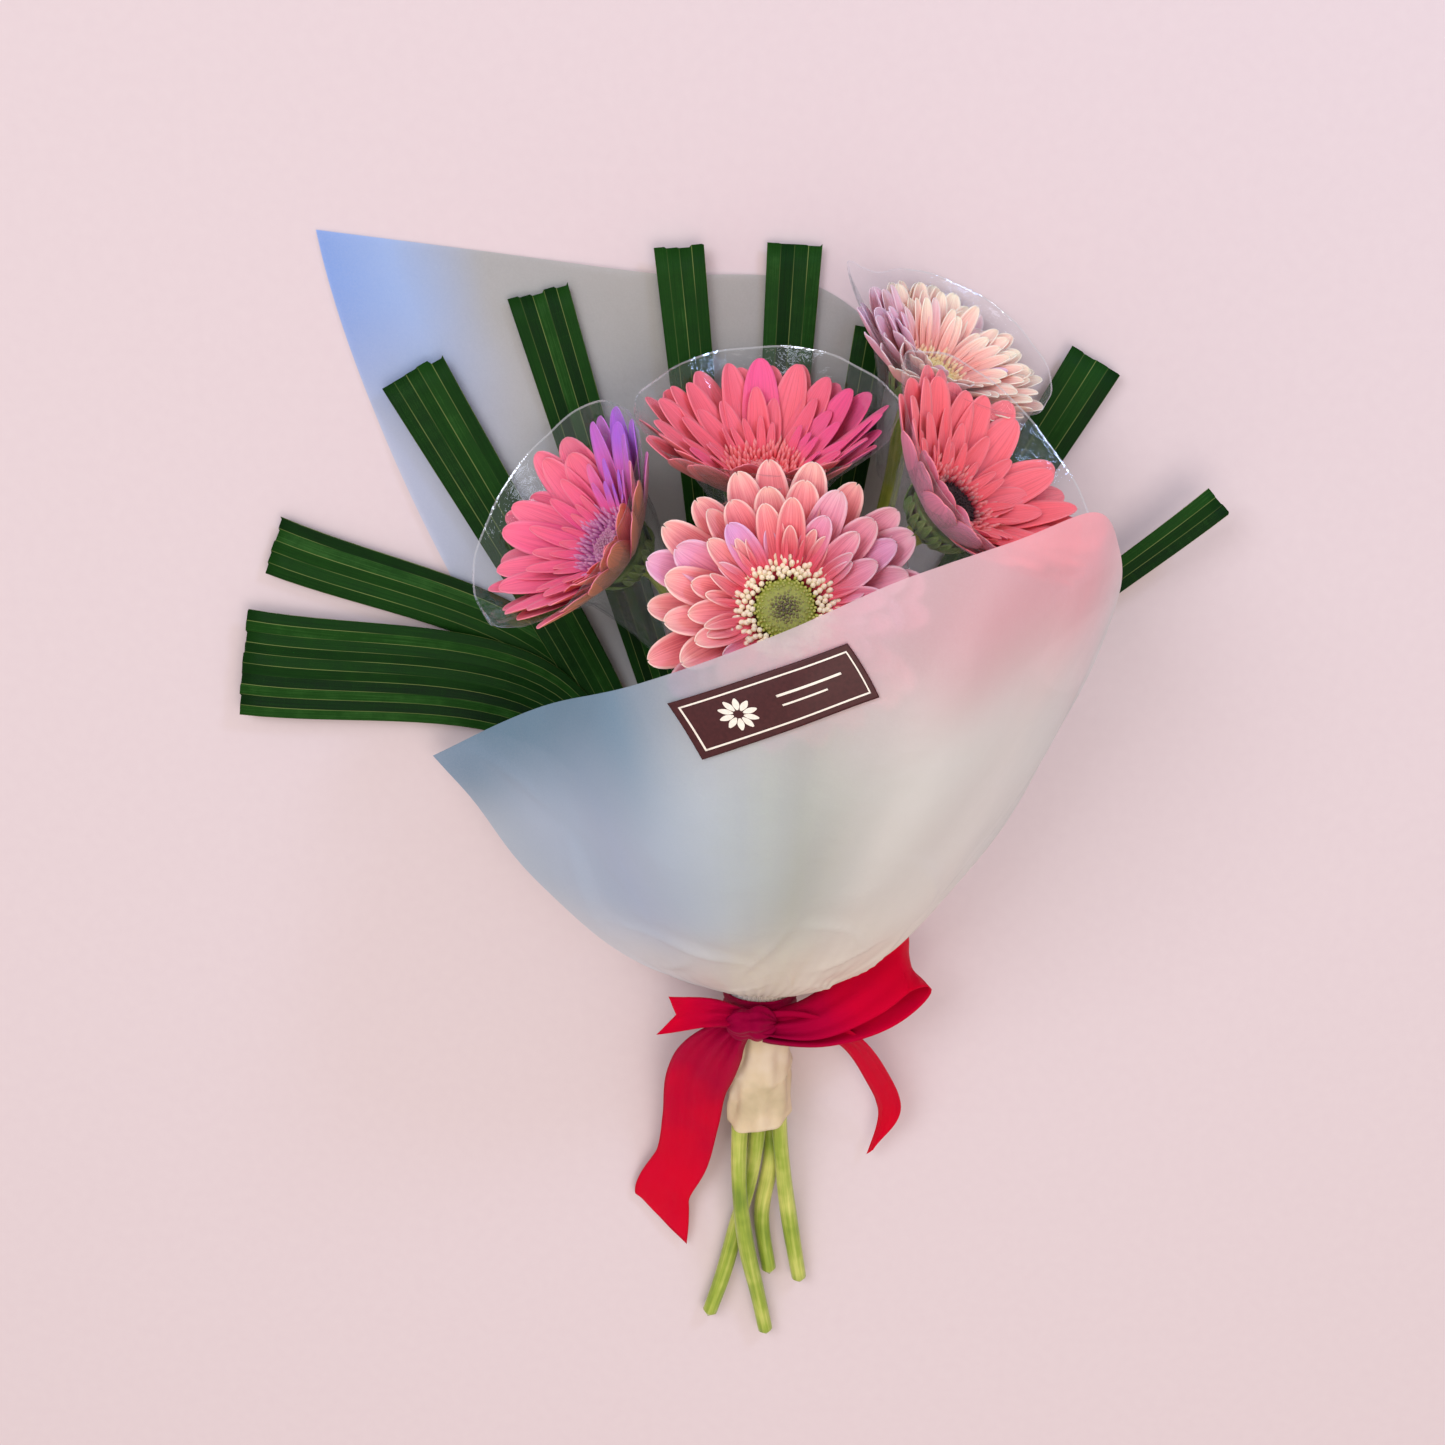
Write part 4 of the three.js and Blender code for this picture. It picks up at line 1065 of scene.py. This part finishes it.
def cream_film():
    """Cream film, a little see-through, with cloudy patches and soft creases."""
    material = finish("cream_collar_film", Roughness=0.5, Transmission_Weight=0.12, Alpha=0.93, IOR=1.3,
                      Subsurface_Weight=0.2, Subsurface_Radius=(1, 0.8, 0.6), Subsurface_Scale=0.002)
    cloud = noise(material, places(material), 60, 3)
    feed(material, Base_Color=ramp(material, cloud, [(0.25, "#c9b48c"), (0.5, "#ead0aa"), (0.8, "#f6e0c6")]))
    relief(material, noise(material, places(material), 180, 4), 0.0008, 0.5)
    return material


def binding_tape():
    """Matt woven tape: fine threads crossing at right angles."""
    material = finish("tape_weave", Roughness=0.8)
    threads = noise(material, stretched(material, places(material), (3000, 300, 3000)), 1.0, 2)
    feed(material, Base_Color=ramp(material, threads, [(0.3, "#c9c0a8"), (0.7, "#e3dbc8")]))
    relief(material, threads, 0.0003)
    return material


t, a = np.meshgrid(np.linspace(0, 1, 50), np.linspace(0, 2 * np.pi, 97), indexing="ij")
lower = COLLAR_TO + 4.0 * (1 - np.cos(a - 2.2)) * 0.9 + 0.8 * np.sin(5 * a)
upper = -1.0 - 26.0 * np.exp(-(np.arccos(np.cos(a - 2.45)) / 0.42) ** 2)
y = upper + (lower - upper) * t
pinch = 1 - 0.05 * np.exp(-((y + 22) / 8) ** 2)
creases = (0.45 * np.sin(9 * a + 0.12 * y) + 0.45 * np.sin(5 * a - 0.22 * y + 1)
           + 0.9 * np.exp(-np.abs(y + 29 + 7 * np.sin(a)) / 1.4)
           - 0.6 * np.exp(-np.abs(y + 40 - 6 * np.cos(a)) / 2.0))
r = (COLLAR_R + 0.7 * t) * pinch + creases * smooth_step(t, 0.02, 0.15)
collar_points = np.stack([r * np.cos(a), y, TIE_HEIGHT + r * np.sin(a) * 0.97], -1)
piece("cream_collar", collar_points[:, ::-1], cream_film(), ["film_collar"], 0.2)

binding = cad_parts["stem_binding"]
for place in binding.material_slots:
    place.material = binding_tape()
if not binding.material_slots:
    binding.data.materials.append(binding_tape())

# %% [markdown]
# ## The satin bow
# Crimson satin ribbon goes once round the neck and is knotted in front, with one big loop to the right, a
# short end, and two tails. Satin is smooth across its face and shines in broad soft bands. Near the knot
# the ribbon is squeezed, so it carries lengthwise folds that fade out. Each run is a strip along a curve.


# %% Satin finish
def satin():
    """Crimson with a broad soft gloss and fine cross ribs, and painted shade that darkens it towards the knot."""
    material = finish("crimson_satin", Roughness=0.45, Specular_IOR_Level=0.2, Specular_Tint=linear("#ff5a78"),
                      Anisotropic=0.4)
    uv = places(material, "UV")
    rib = add_node(material, "TexWave", {"Vector": stretched(material, uv, (0.15, 2.2, 1)), "Scale": 1.0,
                                         "Distortion": 0.6, "Detail": 2}, bands_direction="Y").outputs[1]
    cloud = noise(material, places(material), 40, 3)
    out_of_knot_shade = mark(material, "reach")
    # painted shade: dark crimson at the knot, brighter red away from it
    colour = ramp(material, sum_of(material, "ADD", out_of_knot_shade, sum_of(material, "MULTIPLY_ADD", cloud, 0.4, -0.2)),
                  [(0.0, "#7c0030"), (0.3, "#9c0036"), (0.6, "#b40034"), (0.85, "#d4002c"), (1.0, "#e00026")])
    feed(material, Base_Color=blend(material, sum_of(material, "MULTIPLY", rib, 0.12), colour, "#6c0020"))
    relief(material, rib, 0.00012, 0.5)
    return material


SATIN = satin()

# %% Make the ribbon
RIBBON_WIDTH = 26.0
BAND_R = 14.8
RIBBON_THICKNESS = 0.3
STRIP_ROWS, STRIP_COLUMNS = 72, 17
LOOP = [(0, -5, 37), (22, -3, 34), (43, 8, 30), (57, 19, 27), (62, 15, 24), (50, 1, 25), (26, -8, 30), (0, -8, 37)]
LEFT_END = [(-6, -3, 36), (-20, 1, 38), (-39, -2, 34)]
LEFT_TAIL = [(-6, -4, 36), (-16, -15, 33), (-26, -36, 23), (-29, -58, 16), (-33, -80, 9), (-41, -97, 5),
             (-42, -112, 2.5)]
RIGHT_TAIL = [(-4, -4, 35), (17, -5, 33), (36, -15, 29), (49, -36, 20), (55, -56, 12), (48, -78, 6)]


def ribbon_run(points, width, tilt=0.0, stand=None, folds=0.0, fade=0.3, both=False, cut=(0, 0),
               fork=0.0):
    """A strip of ribbon along a curve: its width is level, or stands along a given direction, turned
    about the curve by tilt. Folds are sines across it that fade away from the knot. cut slants
    the end, and fork notches it."""
    v = np.linspace(0, 1, STRIP_ROWS)
    line = along(points, v)
    ahead = unit(np.gradient(line, axis=0))
    if stand is None:
        side = unit(np.cross(ahead, [0.0, 0, 1]))
    else:
        stand = unit(np.array(stand, float))
        side = unit(stand - ahead * (ahead @ stand)[:, None])
    normal = np.cross(side, ahead)
    side, normal = side * np.cos(tilt) + normal * np.sin(tilt), normal * np.cos(tilt) - side * np.sin(tilt)
    u = np.linspace(-1, 1, STRIP_COLUMNS)
    near = np.exp(-v / fade) + (np.exp(-(1 - v) / fade) if both else 0)
    rise = folds * near[:, None] * np.sin(2.6 * np.pi * u[None] + 1.5 * v[:, None] * 3)
    rise = rise + 0.5 * np.sin(9 * v[:, None] + 2 * u[None]) * (1 - near[:, None])
    half = np.asarray(width(v))[:, None, None] / 2
    ends = (cut[0] + (cut[1] - cut[0]) * (u + 1) / 2 - fork * (1 - np.abs(u)))[None, :] * (v[:, None] ** 9)
    points = line[:, None] + side[:, None] * half * u[None, :, None] + normal[:, None] * rise[..., None]
    points = points + ahead[:, None] * ends[..., None]
    points[..., 2] = np.maximum(points[..., 2], 0.5)
    # the second value is the painted shade share: 0 by the knot, 1 away from it
    return points, np.clip(1 - near, 0, 1)[:, None] + 0 * u


v = np.linspace(0, 1, STRIP_ROWS)
around = np.radians(np.linspace(-60, 300, STRIP_ROWS))[:, None]
flat = np.linspace(-8.5, 3.5, STRIP_COLUMNS)[None]
band_r = BAND_R + 0.35 * np.sin(flat * 1.7 + 2 * around)
band = np.stack([band_r * np.cos(around), flat + 0 * around, TIE_HEIGHT + band_r * np.sin(around)], -1)
runs = [
    # the band round the neck is painted in shade, 0.15
    (band, np.full(band.shape[:2], 0.15)),
    ribbon_run(LOOP, lambda v: 8 + (RIBBON_WIDTH + 1 - 8) * np.sin(np.pi * v) ** 0.7, stand=(0.25, -0.75, 0.6),
               folds=1.6, fade=0.16, both=True),
    ribbon_run(LEFT_END, lambda v: 8 + 7 * v, tilt=-0.4, folds=1.4, fade=0.5, cut=(4, -2), fork=6),
    ribbon_run(LEFT_TAIL, lambda v: 10 + (RIBBON_WIDTH - 11) * smooth_step(v, 0, 0.3) + 2 * np.sin(7 * v)
               - 3 * smooth_step(v, 0.85, 1), tilt=-0.15, folds=2.4, fade=0.3, cut=(12, -11)),
    ribbon_run(RIGHT_TAIL, lambda v: 9 + 3 * np.sin(np.pi * v) - 7 * smooth_step(v, 0.75, 1), tilt=-0.5, folds=1.2,
               fade=0.25, cut=(-2, 3)),
]
# reach carries the painted shade of the knot
bow = piece("satin_bow", np.stack([points for points, _ in runs]), SATIN, ["ribbon_bow"],
            RIBBON_THICKNESS, uv_size=(RIBBON_WIDTH, 150), marks={"reach": np.stack([out_of_knot_shade for _, out_of_knot_shade in runs])})

# %% Tie the knot
KNOT_AT, KNOT_RADII = (-4, -4, 37), (10, 7.5, 5.5)
t, a = np.meshgrid(np.linspace(0, np.pi, 40), np.linspace(0, 2 * np.pi, 61), indexing="ij")
ball = np.stack([np.cos(t), np.sin(t) * np.cos(a), np.sin(t) * np.sin(a)], -1)
folds = 1 + 0.10 * np.sin(5 * a + 2.5 * ball[..., 0]) * np.sin(t) + 0.05 * np.sin(11 * a + 1)
waist = 1 - 0.22 * np.exp(-((ball[..., 0] + 0.1) / 0.25) ** 2)
knot_points = np.array(KNOT_AT) + ball * np.array(KNOT_RADII) * (folds * waist)[..., None]
# the knot gets the darkest painted shade, 0.1
piece("satin_knot", knot_points, SATIN, closed=True, marks={"reach": 0.1})
